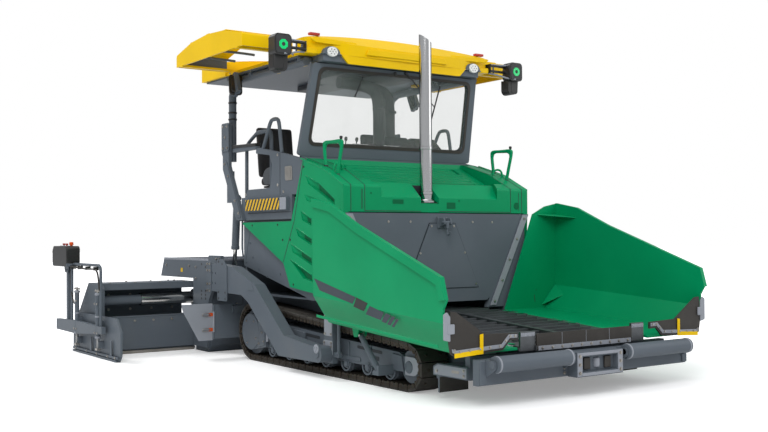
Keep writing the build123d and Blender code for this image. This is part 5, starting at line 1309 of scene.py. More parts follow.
class PAVER_OT_stand(bpy.types.Operator):
    """Guards, rails, seats, desk, mirrors, windscreen seal and wipers"""

    bl_idname = "paver.stand"
    bl_label = "Operator's stand"

    def execute(self, context):
        handed(self.hazard_plate, "hazard_plates", "hazard", "chassis", "yellow_paint", bevel=0.002)
        handed(self.guard_end, "guard_ends", "plates", "chassis", "light_grey_paint", bevel=0.004)
        handed(self.seams, "side_wall_seams", "dark", "chassis", "dark_paint")
        handed(self.rails, "stand_rails", "frame", "chassis", "grey_paint", smooth=60)
        handed(self.armrest, "armrest_pads", "black", "chassis", "black_plastic", bevel=0.010)
        handed(self.wall_bolts, "side_wall_bolts", "steel", "chassis", "wear_steel")
        handed(self.latch, "latch_plates", "steel", "chassis", "wear_steel", bevel=0.006)
        handed(self.leg_plates, "leg_plates", "frame", "chassis", "grey_paint", bevel=0.005)
        handed(self.leg_bolts, "leg_bolts", "steel", "chassis", "wear_steel")
        handed(self.mirror_shell, "mirror_shells", "black", "chassis", "black_plastic", bevel=0.010)
        handed(self.mirror_glass, "mirror_faces", "chrome", "chassis", "chrome_rod")
        handed(self.post_clips, "post_clips", "black", "chassis", "black_plastic", bevel=0.002)
        central(self.seal, "windscreen_seal", "rubber", "chassis", "black_rubber")
        central(self.wipers, "wiper_arms", "black", "chassis", "black_plastic")
        central(self.deck_tread, "deck_tread", "plates", "chassis", "light_grey_paint")
        self.seats()
        central(self.desk_top, "desk_top", "desk", "chassis", "black_plastic", bevel=0.010)
        central(self.desk_dials, "desk_dials", "pod", "chassis", "grey_paint", bevel=0.003)
        central(self.levers, "desk_levers", "black", "chassis", "black_plastic")
        central(self.screens, "desk_screens", "lens", "chassis", "screen_glass", bevel=0.004)
        handed(self.pod, "seat_pods", "pod", "chassis", "grey_paint", bevel=0.012)
        handed(self.pod_levers, "pod_levers", "black", "chassis", "black_plastic")
        central(self.ducts, "fume_ducts", "desk", "chassis", "dark_paint", smooth=60)
        central(self.instruments, "instrument_boxes", "desk", "chassis", "black_plastic", bevel=0.008)
        return {"FINISHED"}

    def hazard_plate(self, bm, sign):
        across(bm, rounded(rect(830, 1622, 1712, 1840), 8), sign * 1260, sign * 1263)

    def guard_end(self, bm, sign):
        across(bm, rounded(rect(676, 815, 1710, 1842), 12), sign * 1260, sign * 1264)

    def seams(self, bm, sign):
        groove(bm, [(877, 1876), (877, 2340)], 1220, sign, 8)
        groove(bm, [(640, 1684), (1640, 1684)], 1220, sign, 8, 2)
        groove(bm, [(620, 1604), (1880, 1604)], 1220, sign, 6, 2)

    def rails(self, bm, sign):
        x = sign * 1200
        tubes(bm, [
            [(x, 870, 2345), (x, 905, 2560), (x, 935, 2700), (x, 980, 2727), (x, 1060, 2727),
             (x, 1120, 2715), (x, 1200, 2580), (x, 1300, 2415)],
            [
                (x - sign * 80, 1860, 1680), (x - sign * 80, 1860, 2440), (x - sign * 80, 1850, 2510),
                (x - sign * 80, 1600, 2622), (x - sign * 80, 1560, 2634), (x - sign * 80, 1300, 2628),
                (x - sign * 80, 1256, 2600), (x - sign * 80, 1250, 2400), (x - sign * 80, 1250, 1680)
            ]
        ], 21)

    def armrest(self, bm, sign):
        across(bm, rounded([(1425, 2452), (2012, 2470), (2012, 2506), (1425, 2490)], 14), sign * 1158,
               sign * 1242)

    def wall_bolts(self, bm, sign):
        places = [(sign * 1220, y, z) for y, z in ((930, 2320), (930, 1985), (1690, 1905), (800, 1905))]
        for place in places:
            turned(bm, place, (place[0] + sign * 7, place[1], place[2]), [(0, 17), (0.5, 17), (1, 11)], 16)

    def latch(self, bm, sign):
        across(bm, rounded([(766, 2180), (612, 2180), (602, 2024), (756, 2024)], 22), sign * 1220,
               sign * 1226)
        across(bm, rounded([(735, 2150), (640, 2150), (632, 2056), (727, 2056)], 14), sign * 1226,
               sign * 1229)

    def leg_plates(self, bm, sign):
        """Stiffening ribs and hinge plates on the folding legs."""
        across(bm, rounded([(1735, 1640), (1850, 1640), (2185, 2225), (2185, 2330), (2110, 2330)], 20),
               sign * 1260, sign * 1268)
        across(bm, rounded(rect(2040, 2230, 2440, 2780), 26), sign * 1260, sign * 1270)
        across(bm, rounded([(2190, 2330), (2260, 2420), (2260, 2560), (2190, 2600)], 16), sign * 1240,
               sign * 1252)

    def leg_bolts(self, bm, sign):
        bolts(bm, [(sign * 1270, y, z) for y, z in (
            (2080, 2480), (2190, 2480), (2080, 2740), (2190, 2740), (2135, 2610)
        )], (sign, 0, 0), 13, 8)
        bolts(bm, [
            (sign * 1268, y, z) for y, z in ((1790, 1690), (1880, 1840), (2060, 2140), (2150, 2290))
        ], (sign, 0, 0), 12, 8)

    def mirror_shell(self, bm, sign):
        turn = self.mirror_place(sign)
        for reach, depth in ((78, (-0.010, 0.026)), (56, (-0.034, -0.010))):
            outline = rounded(rect(-reach, reach, -reach - 50, reach + 50), 45)
            slab(bm, [turn @ Vector((a / 1000, depth[0], b / 1000)) for a, b in outline],
                 turn.to_3x3() @ Vector((0, depth[1] - depth[0], 0)))

    def mirror_place(self, sign):
        """Turned a little inwards and down towards the seat."""
        turn = Matrix.Rotation(math.radians(18 * sign), 4, "Z") @ Matrix.Rotation(math.radians(-14), 4, "X")
        return Matrix.Translation(at(sign * 1300, 1790, 3200)) @ turn

    def mirror_glass(self, bm, sign):
        turn = self.mirror_place(sign)
        outline = rounded(rect(-66, 66, -116, 116), 38)
        slab(bm, [turn @ Vector((a / 1000, 0.0265, b / 1000)) for a, b in outline],
             turn.to_3x3() @ Vector((0, 0.001, 0)))

    def post_clips(self, bm, sign):
        for z in (2820, 2900, 3020):
            turned(bm, (sign * 1166, 2135, z), (sign * 1166, 2135, z + 22),
                   [(0, 50), (0.2, 53), (0.8, 53), (1, 50)], 24)

    def screen_corners(self, inset, radius):
        height = math.hypot(220, 980)
        foot, head = 1190 - 110 + inset, 1130 - 90 + inset
        return rounded([
            (-foot, 125 - inset), (foot, 125 - inset), (head, height - 45 + inset),
            (-head, height - 45 + inset)
        ], radius, 6)

    def on_screen(self, x, rise, out):
        """A point on the windscreen: across, up along it, and forwards of its middle."""
        height = math.hypot(220, 980)
        up = Vector((0, -220, 980)) / height
        normal = Vector((0, -980, -220)) / height
        spot = Vector((x, 550, 2290)) + up * rise + normal * out
        return at(*spot)

    def seal(self, bm):
        """Black rubber seal round the glass, front and back."""
        outer, inner = self.screen_corners(12, 92), self.screen_corners(-22, 80)
        for out in (26, -30):
            rings = []
            for corners, lift in ((outer, 0), (outer, 5), (inner, 5), (inner, 0)):
                rings.append([bm.verts.new(self.on_screen(x, rise, out + lift)) for x, rise in corners])
            skin(bm, rings, True)

    def wipers(self, bm):
        """Two arms hung from the header, parked slantwise on the glass."""
        for pivot, tip, tilt in (((90, 950), (560, 640), 1), ((-60, 930), (-520, 905), 0)):
            a = self.on_screen(pivot[0], pivot[1] + 45, 34)
            b = self.on_screen(tip[0], tip[1], 22)
            slim = (b - a).cross(Vector((0, 1, 0.2))).normalized() * 0.007
            slab(bm, [a - slim, a + slim, b + slim * 0.6, b - slim * 0.6], Vector((0, -0.008, 0)))
            c = self.on_screen(tip[0] + 40, tip[1] + 250 * tilt, 20)
            d = self.on_screen(tip[0] - 40, tip[1] - 230, 20)
            side = Vector((0.006, 0, 0.002))
            slab(bm, [c - side, c + side, d + side, d - side], Vector((0, -0.014, 0)))
            spin = self.on_screen(pivot[0], pivot[1] + 45, 26), self.on_screen(pivot[0], pivot[1] + 45, 46)
            first, last = [Vector((p.x * 1000, (p.y + MIDDLE) * 1000, p.z * 1000)) for p in spin]
            turned(bm, first, last, [(0, 22), (0.6, 22), (1, 15)], 16)

    def deck_tread(self, bm):
        """Raised bars of the anti-slip deck."""
        tread(bm, (14, 22), (-1060, 900), 70, 1060, 1680, lambda x, y: abs(x) > 480 and 1330 < y < 1720)

    def cushion(self, name, outline_box, recess):
        """A padded seat part: a subdivided box with pulled-in sides and sewn channels."""
        (x0, x1), (y0, y1), (z0, z1), lean = outline_box
        bm = bmesh.new()
        nx, ny, nz = 12, 10, 5
        grid = {}

        def spot(i, j, k):
            u, v, w = i / nx * 2 - 1, j / ny * 2 - 1, k / nz * 2 - 1
            crown = (1 - abs(u) ** 4) * (1 - abs(v) ** 4)
            side = 1 - 0.05 * abs(w) ** 3
            channel = 0.0
            if w > 0.99:
                channel = -0.020 * math.exp(-((abs(u) - recess) / 0.07) ** 2)
                channel -= 0.012 * math.exp(-((v + 0.1) / 0.06) ** 2) * (abs(u) < recess)
            x = (x0 + x1) / 2 + (x1 - x0) / 2 * u * side
            y = (y0 + y1) / 2 + (y1 - y0) / 2 * v * side
            z = (z0 + z1) / 2 + (z1 - z0) / 2 * w
            return Vector((x / 1000, y / 1000, z / 1000 + crown * 0.018 * (w > 0.5) + channel))

        for i in range(nx + 1):
            for j in range(ny + 1):
                for k in range(nz + 1):
                    if i in (0, nx) or j in (0, ny) or k in (0, nz):
                        grid[i, j, k] = bm.verts.new(spot(i, j, k))

        def quad(a, b, c, d):
            bm.faces.new([grid[a], grid[b], grid[c], grid[d]])

        for i in range(nx):
            for j in range(ny):
                for k in (0, nz):
                    quad((i, j, k), (i + 1, j, k), (i + 1, j + 1, k), (i, j + 1, k))
        for i in range(nx):
            for k in range(nz):
                for j in (0, ny):
                    quad((i, j, k), (i + 1, j, k), (i + 1, j, k + 1), (i, j, k + 1))
        for j in range(ny):
            for k in range(nz):
                for i in (0, nx):
                    quad((i, j, k), (i, j + 1, k), (i, j + 1, k + 1), (i, j, k + 1))
        bm.transform(lean)
        made = piece(name, bm, finish_of("cloth"), "chassis", "seat_cover", smooth=180)
        soft = made.modifiers.new("smooth", "SUBSURF")
        soft.levels = soft.render_levels = 1
        return made

    def seats(self):
        """Cushion, back and pedestal of both seats."""
        cushions = []
        for side, sign in SIDES:
            middle = sign * 750
            base = Matrix.Translation((0, -MIDDLE, 0))
            cushions.append(self.cushion(f"seat_cushion_{side}", (
                (middle - 250, middle + 250), (1265, 1740), (2020, 2112), base
            ), 0.68))
            lean = Matrix.Translation(at(middle, 1790, 2125)) @ Matrix.Rotation(math.radians(83), 4, "X")
            cushions.append(self.cushion(f"seat_back_{side}", ((-235, 235), (0, 600), (-45, 35), lean), 0.66))
            bm = bmesh.new()
            block(bm, (middle - 190, middle + 190), (1360, 1690), (1680, 1700))
            for k in range(7):
                z = 1712 + 42 * k
                upright(bm, rounded(rect(middle - 160, middle + 160, 1380, 1670), 60), z, z + 30)
            block(bm, (middle - 215, middle + 215), (1290, 1730), (1990, 2014))
            stand = piece(f"seat_stand_{side}", bm, finish_of("black"), "chassis", "black_plastic",
                          bevel=0.006)
            cushions.append(stand)
        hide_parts("seats")
        for other in cushions[1:]:
            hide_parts("seats")

    def desk_top(self, bm):
        across(bm, rounded(
            [(615, 2245), (615, 2345), (700, 2375), (1015, 2446), (1035, 2385), (900, 2245)], 16
        ), -568, 568)
        across(bm, rounded([(640, 2350), (640, 2440), (760, 2470), (800, 2400)], 20), -430, 430)

    def desk_dials(self, bm):
        for x in (-400, 400):
            slab(bm, [
                at(x - 90, 720, 2385), at(x + 90, 720, 2385), at(x + 90, 980, 2448), at(x - 90, 980, 2448)
            ], Vector((0, 0, 0.008)))
        for k in range(9):
            x = -240 + 60 * k
            turned(bm, (x, 880, 2412), (x, 874, 2440), [(0, 14), (0.7, 13), (1, 9)], 12)

    def levers(self, bm):
        for x in (-330, -180, 180, 330):
            bar(bm, (x, 930, 2425), (x, 915, 2520), 7, 10)
            turned(bm, (x, 916, 2515), (x, 908, 2565), [(0, 12), (0.4, 19), (0.8, 18), (1, 9)], 14)
        turned(bm, (0, 905, 2424), (0, 885, 2485), [(0, 30), (0.3, 14), (0.7, 14), (0.8, 62), (1, 58)], 24)

    def screens(self, bm):
        for x in (-220, 220):
            slab(bm, [
                at(x - 110, 775, 2475), at(x + 110, 775, 2475), at(x + 110, 800, 2408),
                at(x - 110, 800, 2408)
            ], Vector((0, 0.004, 0)))

    def pod(self, bm, sign):
        """Lever pod beside each seat."""
        x = sign * 1075
        across(bm, rounded(
            [(1130, 2000), (1420, 2000), (1460, 2110), (1400, 2190), (1260, 2215), (1160, 2150)], 50
        ), x - 55, x + 55)
        block(bm, (x - 40, x + 40), (1220, 1330), (1690, 2010))

    def pod_levers(self, bm, sign):
        x = sign * 1075
        bar(bm, (x, 1270, 2200), (x, 1235, 2300), 8, 10)
        turned(bm, (x, 1240, 2288), (x, 1225, 2350), [(0, 14), (0.4, 22), (0.8, 20), (1, 10)], 14)
        for y in (1340, 1380, 1420):
            turned(bm, (x, y, 2180), (x, y, 2210), [(0, 12), (1, 9)], 10)

    def ducts(self, bm):
        """Two fume ducts that rise behind the desk and bend over under the roof."""
        tubes(bm, [[
            (130, 900, 2260), (130, 900, 2700), (130, 900, 2960), (90, 900, 3110), (-40, 905, 3170),
            (-260, 910, 3185), (-420, 915, 3190)
        ]], 72)
        tubes(bm, [[
            (430, 1100, 1684), (430, 1100, 2600), (430, 1100, 3000), (400, 1100, 3120), (290, 1095, 3185),
            (60, 1060, 3200), (-200, 1000, 3200)
        ]], 60)
        for x, y in ((130, 900), (430, 1100)):
            for z in (2480, 2900):
                turned(bm, (x, y, z), (x, y, z + 30), [(0, 74), (0.1, 78), (0.9, 78), (1, 74)], 28)

    def instruments(self, bm):
        """Tilted instrument boxes on the driver's side of the desk."""
        for low, high in ((230, 560), (620, 980)):
            across(bm, rounded(
                [(780, 2400), (900, 2380), (1030, 2520), (1000, 2590), (940, 2600), (790, 2470)], 14
            ), low, high)
        block(bm, (-560, 1010), (1016, 1034), (2400, 2452))


# ------------------------------------------------------------------ roof


class PAVER_OT_roof(bpy.types.Operator):
    """Lamps, head lamps, ribs and rails of the roof"""

    bl_idname = "paver.roof"
    bl_label = "Roof"

    LAMP = (1600, 120, 3380)    # middle of a work lamp's face
    HEAD_LAMP_X = 975

    def execute(self, context):
        handed(self.lamp_faces, "work_lamp_faces", "desk", "chassis", "black_plastic", bevel=0.008)
        handed(self.lamp_rings, "work_lamp_rings", "ring", "chassis", "yellow_paint", bevel=0.002)
        handed(self.lamp_horns, "lamp_horns", "black", "chassis", "black_plastic", bevel=0.014)
        handed(self.lamp_rails, "lamp_rails", "plates", "chassis", "light_grey_paint", smooth=60)
        handed(self.head_lamps, "head_lamp_lenses", "lens", "chassis", "screen_glass", bevel=0.003)
        handed(self.head_lamp_dots, "head_lamp_dots", "black", "chassis", "black_plastic")
        handed(self.head_lamp_seats, "head_lamp_seats", "frame", "chassis", "grey_paint", bevel=0.004)
        handed(self.marker_lamp, "marker_lamps", "red", "chassis", "black_plastic", bevel=0.004)
        handed(self.awning_ribs, "awning_ribs", "roof", "awning", "yellow_paint", bevel=0.004)
        handed(self.awning_under, "awning_linings", "frame", "awning", "grey_paint", smooth=60)
        handed(self.runner_rails, "runner_rails", "plates", "chassis", "light_grey_paint", bevel=0.002)
        handed(self.roof_brackets, "roof_brackets", "frame", "chassis", "grey_paint", bevel=0.004)
        handed(self.under_lamps, "under_roof_lamps", "yellow", "chassis", "yellow_paint", bevel=0.004)
        central(self.fascia_steps, "fascia_steps", "roof", "chassis", "yellow_paint", bevel=0.008)
        central(self.ducting, "roof_ducting", "dark", "chassis", "dark_paint", bevel=0.012)
        central(self.roof_seams, "roof_seams", "dark", "chassis", "dark_paint")
        return {"FINISHED"}


    def ring_on_lamp(self, bm, sign, outer, inner, count, depth, out):
        x, y, z = self.LAMP
        rings = []
        for radius, lift in ((outer, 0), (outer, depth), (inner, depth), (inner, 0)):
            spots = circle(0, 0, radius, count, 22.5 if count == 8 else 0)
            rings.append([bm.verts.new(at(sign * x + a, y - out - lift, z + b)) for a, b in spots])
        skin(bm, rings, True)

    def lamp_faces(self, bm, sign):
        x, y, z = self.LAMP
        along(bm, rounded(rect(sign * x - 84, sign * x + 84, z - 92, z + 92), 30), y - 6, y)
        for row in range(5):
            block(bm, (sign * x - 60, sign * x + 60), (y + 128, y + 134),
                  (z - 60 + row * 28, z - 50 + row * 28))

    def lamp_rings(self, bm, sign):
        self.ring_on_lamp(bm, sign, 54, 22, 8, 5, 6)

    def lamp_horns(self, bm, sign):
        x, y, z = self.LAMP
        along(bm, rounded([
            (sign * (x + 18) - 62, z - 260), (sign * (x + 18) + 52, z - 260),
            (sign * (x + 18) + 66, z - 20), (sign * (x + 18) - 66, z - 20)
        ], 34), y + 46, y + 176)

    def lamp_rails(self, bm, sign):
        tubes(bm, [sided(sign, [(1275, 240, 3452), (1400, 215, 3455), (1540, 190, 3456)]),
                   sided(sign, [(1275, 250, 3352), (1400, 225, 3340), (1500, 140, 3288), (1590, 118, 3290)]),
                   sided(sign, [(1300, 250, 3452), (1305, 252, 3400), (1310, 254, 3352)]),
                   sided(sign, [(1360, 262, 3452), (1362, 262, 3400), (1365, 262, 3345)])], 10)

    def fascia_y(self, x):
        """The roof's front edge falls back towards its corners."""
        return 150 + 120 * (abs(x) / 1270) ** 2

    def head_lamps(self, bm, sign):
        y = self.fascia_y(self.HEAD_LAMP_X)
        along(bm, [(sign * self.HEAD_LAMP_X + a * 1.25, 3372 + b) for a, b in circle(0, 0, 52, 28)], y - 62,
              y - 30)

    def head_lamp_dots(self, bm, sign):
        y = self.fascia_y(self.HEAD_LAMP_X) - 63
        for a, b in circle(0, 0, 28, 6) + [(0, 0)]:
            along(bm, [
                (sign * self.HEAD_LAMP_X + a * 1.3 + p, 3372 + b + q) for p, q in circle(0, 0, 6, 10)
            ], y, y + 2)

    def head_lamp_seats(self, bm, sign):
        y = self.fascia_y(self.HEAD_LAMP_X)
        arch = [(sign * 845, 3345)] + [(
            sign * self.HEAD_LAMP_X + sign * a * 1.55, 3362 + b * 1.05
        ) for a, b in circle(0, 0, 66, 14, 180, -180)] + [(sign * 1105, 3345)]
        along(bm, arch, y - 46, y + 14)

    def marker_lamp(self, bm, sign):
        block(bm, (sign * 1080, sign * 1200), (250, 300), (3545, 3572))
        for k in range(4):
            block(bm, (sign * (1088 + 28 * k), sign * (1102 + 28 * k)), (246, 252), (3548, 3568))

    def awning_ribs(self, bm, sign):
        """Pressed ribs across the awning's crown."""
        for share in (0.25, 0.5, 0.75):
            y = 450 + 1660 * share
            z = 3525 + (118 if share == 0.5 else 92) - 3
            across(bm, rounded([(y - 50, z - 4), (y - 38, z + 8), (y + 38, z + 8), (y + 50, z - 4)], 6),
                   sign * 1320, sign * 1895)

    def awning_under(self, bm, sign):
        for y in (560, 1990):
            across(bm, rect(y - 8, y + 8, 3400, 3520), sign * 1315, sign * 1872)
        for k in range(3):
            y = 800 + 480 * k
            tubes(bm, [sided(sign, [(1320, y, 3470), (1600, y, 3480), (1870, y, 3470)])], 14)

    def runner_rails(self, bm, sign):
        for y in (520, 2020):
            across(bm, rect(y, y + 14, 3358, 3374), sign * 700, sign * 1262)

    def roof_brackets(self, bm, sign):
        for y in (420, 980, 1540, 2100):
            across(bm, rounded(rect(y, y + 60, 3290, 3330), 8), sign * 1080, sign * 1228)
        bolts(bm, [(sign * 1228, y, 3310) for y in (450, 1010, 1570, 2130)], (sign, 0, 0), 11, 7)

    def under_lamps(self, bm, sign):
        for y in (700, 1300):
            upright(bm, rounded(rect(sign * 960, sign * 1100, y, y + 90), 20), 3300, 3330)

    def fascia_steps(self, bm):
        """Stepped panels of the front fascia, low in the middle and raised at its ends."""
        for sign in (-1, 1):
            along(bm, rounded(sided(
                sign, [(700, 3392), (860, 3450), (1180, 3458), (1240, 3500), (1100, 3512), (640, 3500)]
            ), 30), 188, 215)
            along(bm, rounded(sided(sign, [(1120, 3345), (1262, 3345), (1262, 3410), (1130, 3400)]), 16),
                  232, 262)
        along(bm, rounded([(-560, 3372), (560, 3372), (520, 3440), (-520, 3440)], 20), 140, 165)

    def ducting(self, bm):
        """Fume box and its branches under the roof."""
        upright(bm, rounded(
            [(-480, 560), (480, 560), (520, 900), (480, 1500), (-480, 1500), (-520, 900)], 60
        ), 3250, 3330)
        upright(bm, rounded([(-220, 1560), (220, 1560), (180, 2300), (-180, 2300)], 40), 3262, 3330)

    def roof_seams(self, bm):
        for y in (2130, 2700):
            for k in range(24):
                x0 = -1240 + 2480 * k / 24
                x1 = -1240 + 2480 * (k + 1) / 24
                z0, z1 = [3610 - 90 * (x / 1250) ** 2 + 1 for x in (x0, x1)]
                slab(bm, [at(x0, y, z0), at(x1, y, z1), at(x1, y + 6, z1), at(x0, y + 6, z0)],
                     Vector((0, 0, 0.001)))


# ------------------------------------------------------------------ tow arms and augers


class PAVER_OT_tow(bpy.types.Operator):
    """Tow guides, levelling rods, arm plates, cylinder collars and the augers' flights"""

    bl_idname = "paver.tow"
    bl_label = "Tow arms and augers"

    AUGER = (2240, 420)      # the auger's axis, seen from the side
    ARM_FACE = 1460
    TURNS = (1235 - 160) / 300

    def execute(self, context):
        handed(self.guide_plates, "tow_guide_plates", "plates", "chassis", "light_grey_paint", bevel=0.004)
        handed(self.guide_bolts, "tow_guide_bolts", "steel", "chassis", "wear_steel")
        handed(self.level_eyes, "levelling_eyes", "frame", "chassis", "grey_paint", bevel=0.002)
        handed(self.level_hoses, "levelling_hoses", "rubber", "chassis", "black_rubber", smooth=60)
        handed(self.arm_plates, "arm_plates", "frame", "screed", "grey_paint", bevel=0.005)
        handed(self.arm_hole_shade, "arm_hole_shade", "black", "screed", "dark_paint")
        handed(self.arm_bolts, "arm_bolts", "steel", "screed", "wear_steel")
        handed(self.tow_pins, "tow_pins", "plates", "screed", "light_grey_paint", bevel=0.004)
        central(self.barrel_collars, "lift_collars", "frame", "lift_barrels", "grey_paint", bevel=0.003)
        handed(self.latches, "tunnel_latches", "orange", "tunnel_plate", "light_grey_paint", bevel=0.003)
        handed(self.latch_wires, "tunnel_latch_handles", "steel", "tunnel_plate", "wear_steel", smooth=60)
        for side, sign in SIDES:
            bm = bmesh.new()
            self.flight(bm, sign)
            turned(bm, (sign * 134.5, *self.AUGER), (sign * 1235, *self.AUGER), [(0, 45), (1, 45)], 24)
            made = piece(f"auger_flight_{side}", bm, finish_of("steel"), f"auger_{side}", "wear_steel",
                         smooth=40)
            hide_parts(f"auger_{side}")
        return {"FINISHED"}

    def flight(self, bm, sign):
        """One helical blade round the shaft, 12 mm thick."""
        steps = int(28 * self.TURNS)
        rows = []
        for k in range(steps + 1):
            angle = 2 * math.pi * k / 28
            x = 160 + 300 * k / 28
            rim, foot = 192, 42
            ring = []
            for radius, lift in ((foot, -6), (rim, -5), (rim, 5), (foot, 6)):
                ring.append(bm.verts.new(
                    at(sign * (x + lift), 2240 - radius * math.sin(angle), 420 + radius * math.cos(angle))
                ))
            rows.append(ring)
        skin(bm, rows)

    def guide_plates(self, bm, sign):
        across(bm, rounded(rect(-366, -194, 232, 376), 14), sign * 1325, sign * 1333)
        across(bm, rounded(rect(-350, -210, 420, 800), 14), sign * 1325, sign * 1329)

    def guide_bolts(self, bm, sign):
        places = [(sign * 1333, y, z) for y in (-345, -215) for z in (252, 286, 320, 354)]
        bolts(bm, places, (sign, 0, 0), 10, 8)
        bolts(bm, [(sign * 1329, y, z) for y in (-335, -225) for z in (440, 610, 780)], (sign, 0, 0), 10, 8)

    def level_eyes(self, bm, sign):
        x = sign * 1295
        turned(bm, (x - 26, -430, 243), (x + 26, -430, 243), [(0, 20), (0.1, 30), (0.9, 30), (1, 20)], 24)
        turned(bm, (x - 36, -430, 243), (x + 36, -430, 243), [(0, 12), (0.1, 15), (0.9, 15), (1, 12)], 16)
        turned(bm, (x, -430, 560), (x, -430, 590), [(0, 30), (0.2, 39), (0.8, 39), (1, 36.5)], 28)
        turned(bm, (x, -430, 770), (x, -430, 802), [(0, 36.5), (0.2, 39), (1, 39)], 28)

    def level_hoses(self, bm, sign):
        x = sign * 1295
        tubes(bm, [[
            (x - sign * 10, -466, 600), (x - sign * 10, -490, 610), (x - sign * 12, -500, 680),
            (x - sign * 30, -495, 780)
        ], [(x + sign * 14, -466, 760), (x + sign * 14, -486, 765), (x + sign * 6, -500, 800)]], 9)

    def arm_plates(self, bm, sign):
        plate = rounded([(1690, 672), (1935, 672), (1935, 1150), (1790, 1160), (1690, 1080)], 24)
        across(bm, plate, sign * self.ARM_FACE, sign * (self.ARM_FACE + 14))
        across(bm, rounded(rect(2110, 2236, 745, 1128), 18), sign * self.ARM_FACE,
               sign * (self.ARM_FACE + 10))
        across(bm, rounded([(1035, 820), (1180, 820), (1240, 905), (1100, 905)], 12), sign * self.ARM_FACE,
               sign * (self.ARM_FACE + 5))

    def arm_hole_shade(self, bm, sign):
        # Painted shade: black discs for the holes in the arm plates.
        face = self.ARM_FACE + 14
        for y, z, r in ((1892, 1128, 13), (1802, 1100, 13), (1899, 772, 13), (1899, 700, 13),
                        (1727, 772, 13), (1727, 700, 13)):
            turned(bm, (sign * face, y, z), (sign * (face + 1), y, z), [(0, r), (1, r)], 18)

    def arm_bolts(self, bm, sign):
        places = [(sign * (self.ARM_FACE + 10), y, z) for y in (2140, 2206) for z in (780, 860, 1020, 1095)]
        bolts(bm, places, (sign, 0, 0), 12, 9)

    def tow_pins(self, bm, sign):
        y, z = -280, 300
        x = sign * self.ARM_FACE
        turned(bm, (x, y, z), (x + sign * 14, y, z), [(0, 46), (0.7, 46), (1, 40)], 32)
        bolts(bm, [(x + sign * 14, y + 24 * math.cos(a), z + 24 * math.sin(a)) for a in (0.5, 2.6, 4.7)],
              (sign, 0, 0), 7, 6)

    def barrel_collars(self, bm):
        for sign in (-1, 1):
            foot, eye = Vector((sign * 1110, 2130, 1880)), Vector((sign * 1110, 2220, 920))
            aim = (eye - foot).normalized()
            for low, high in ((28, 62), (575, 619)):
                turned(bm, foot + aim * low, foot + aim * high, [(0, 45), (0.15, 50), (0.85, 50), (1, 45)],
                       28)
            for reach in (90, 540):
                a = foot + aim * reach
                turned(bm, (a.x, a.y + 42, a.z), (a.x, a.y + 66, a.z), [(0, 14), (1, 14)], 14)

    def latches(self, bm, sign):
        for z in (331, 507):
            block(bm, (sign * 1508, sign * 1556), (1977, 1988), (z - 19, z + 19))
            turned(bm, (sign * 1532, 1977, z), (sign * 1532, 1972, z), [(0, 10), (1, 8)], 12)

    def latch_wires(self, bm, sign):
        for z in (331, 507):
            tubes(bm, [sided(sign, [
                (1540, 1972, z), (1580, 1966, z + 18), (1640, 1966, z + 14), (1648, 1968, z),
                (1640, 1970, z - 14), (1580, 1972, z - 18), (1540, 1976, z)
            ])], 4)


# ------------------------------------------------------------------ screed


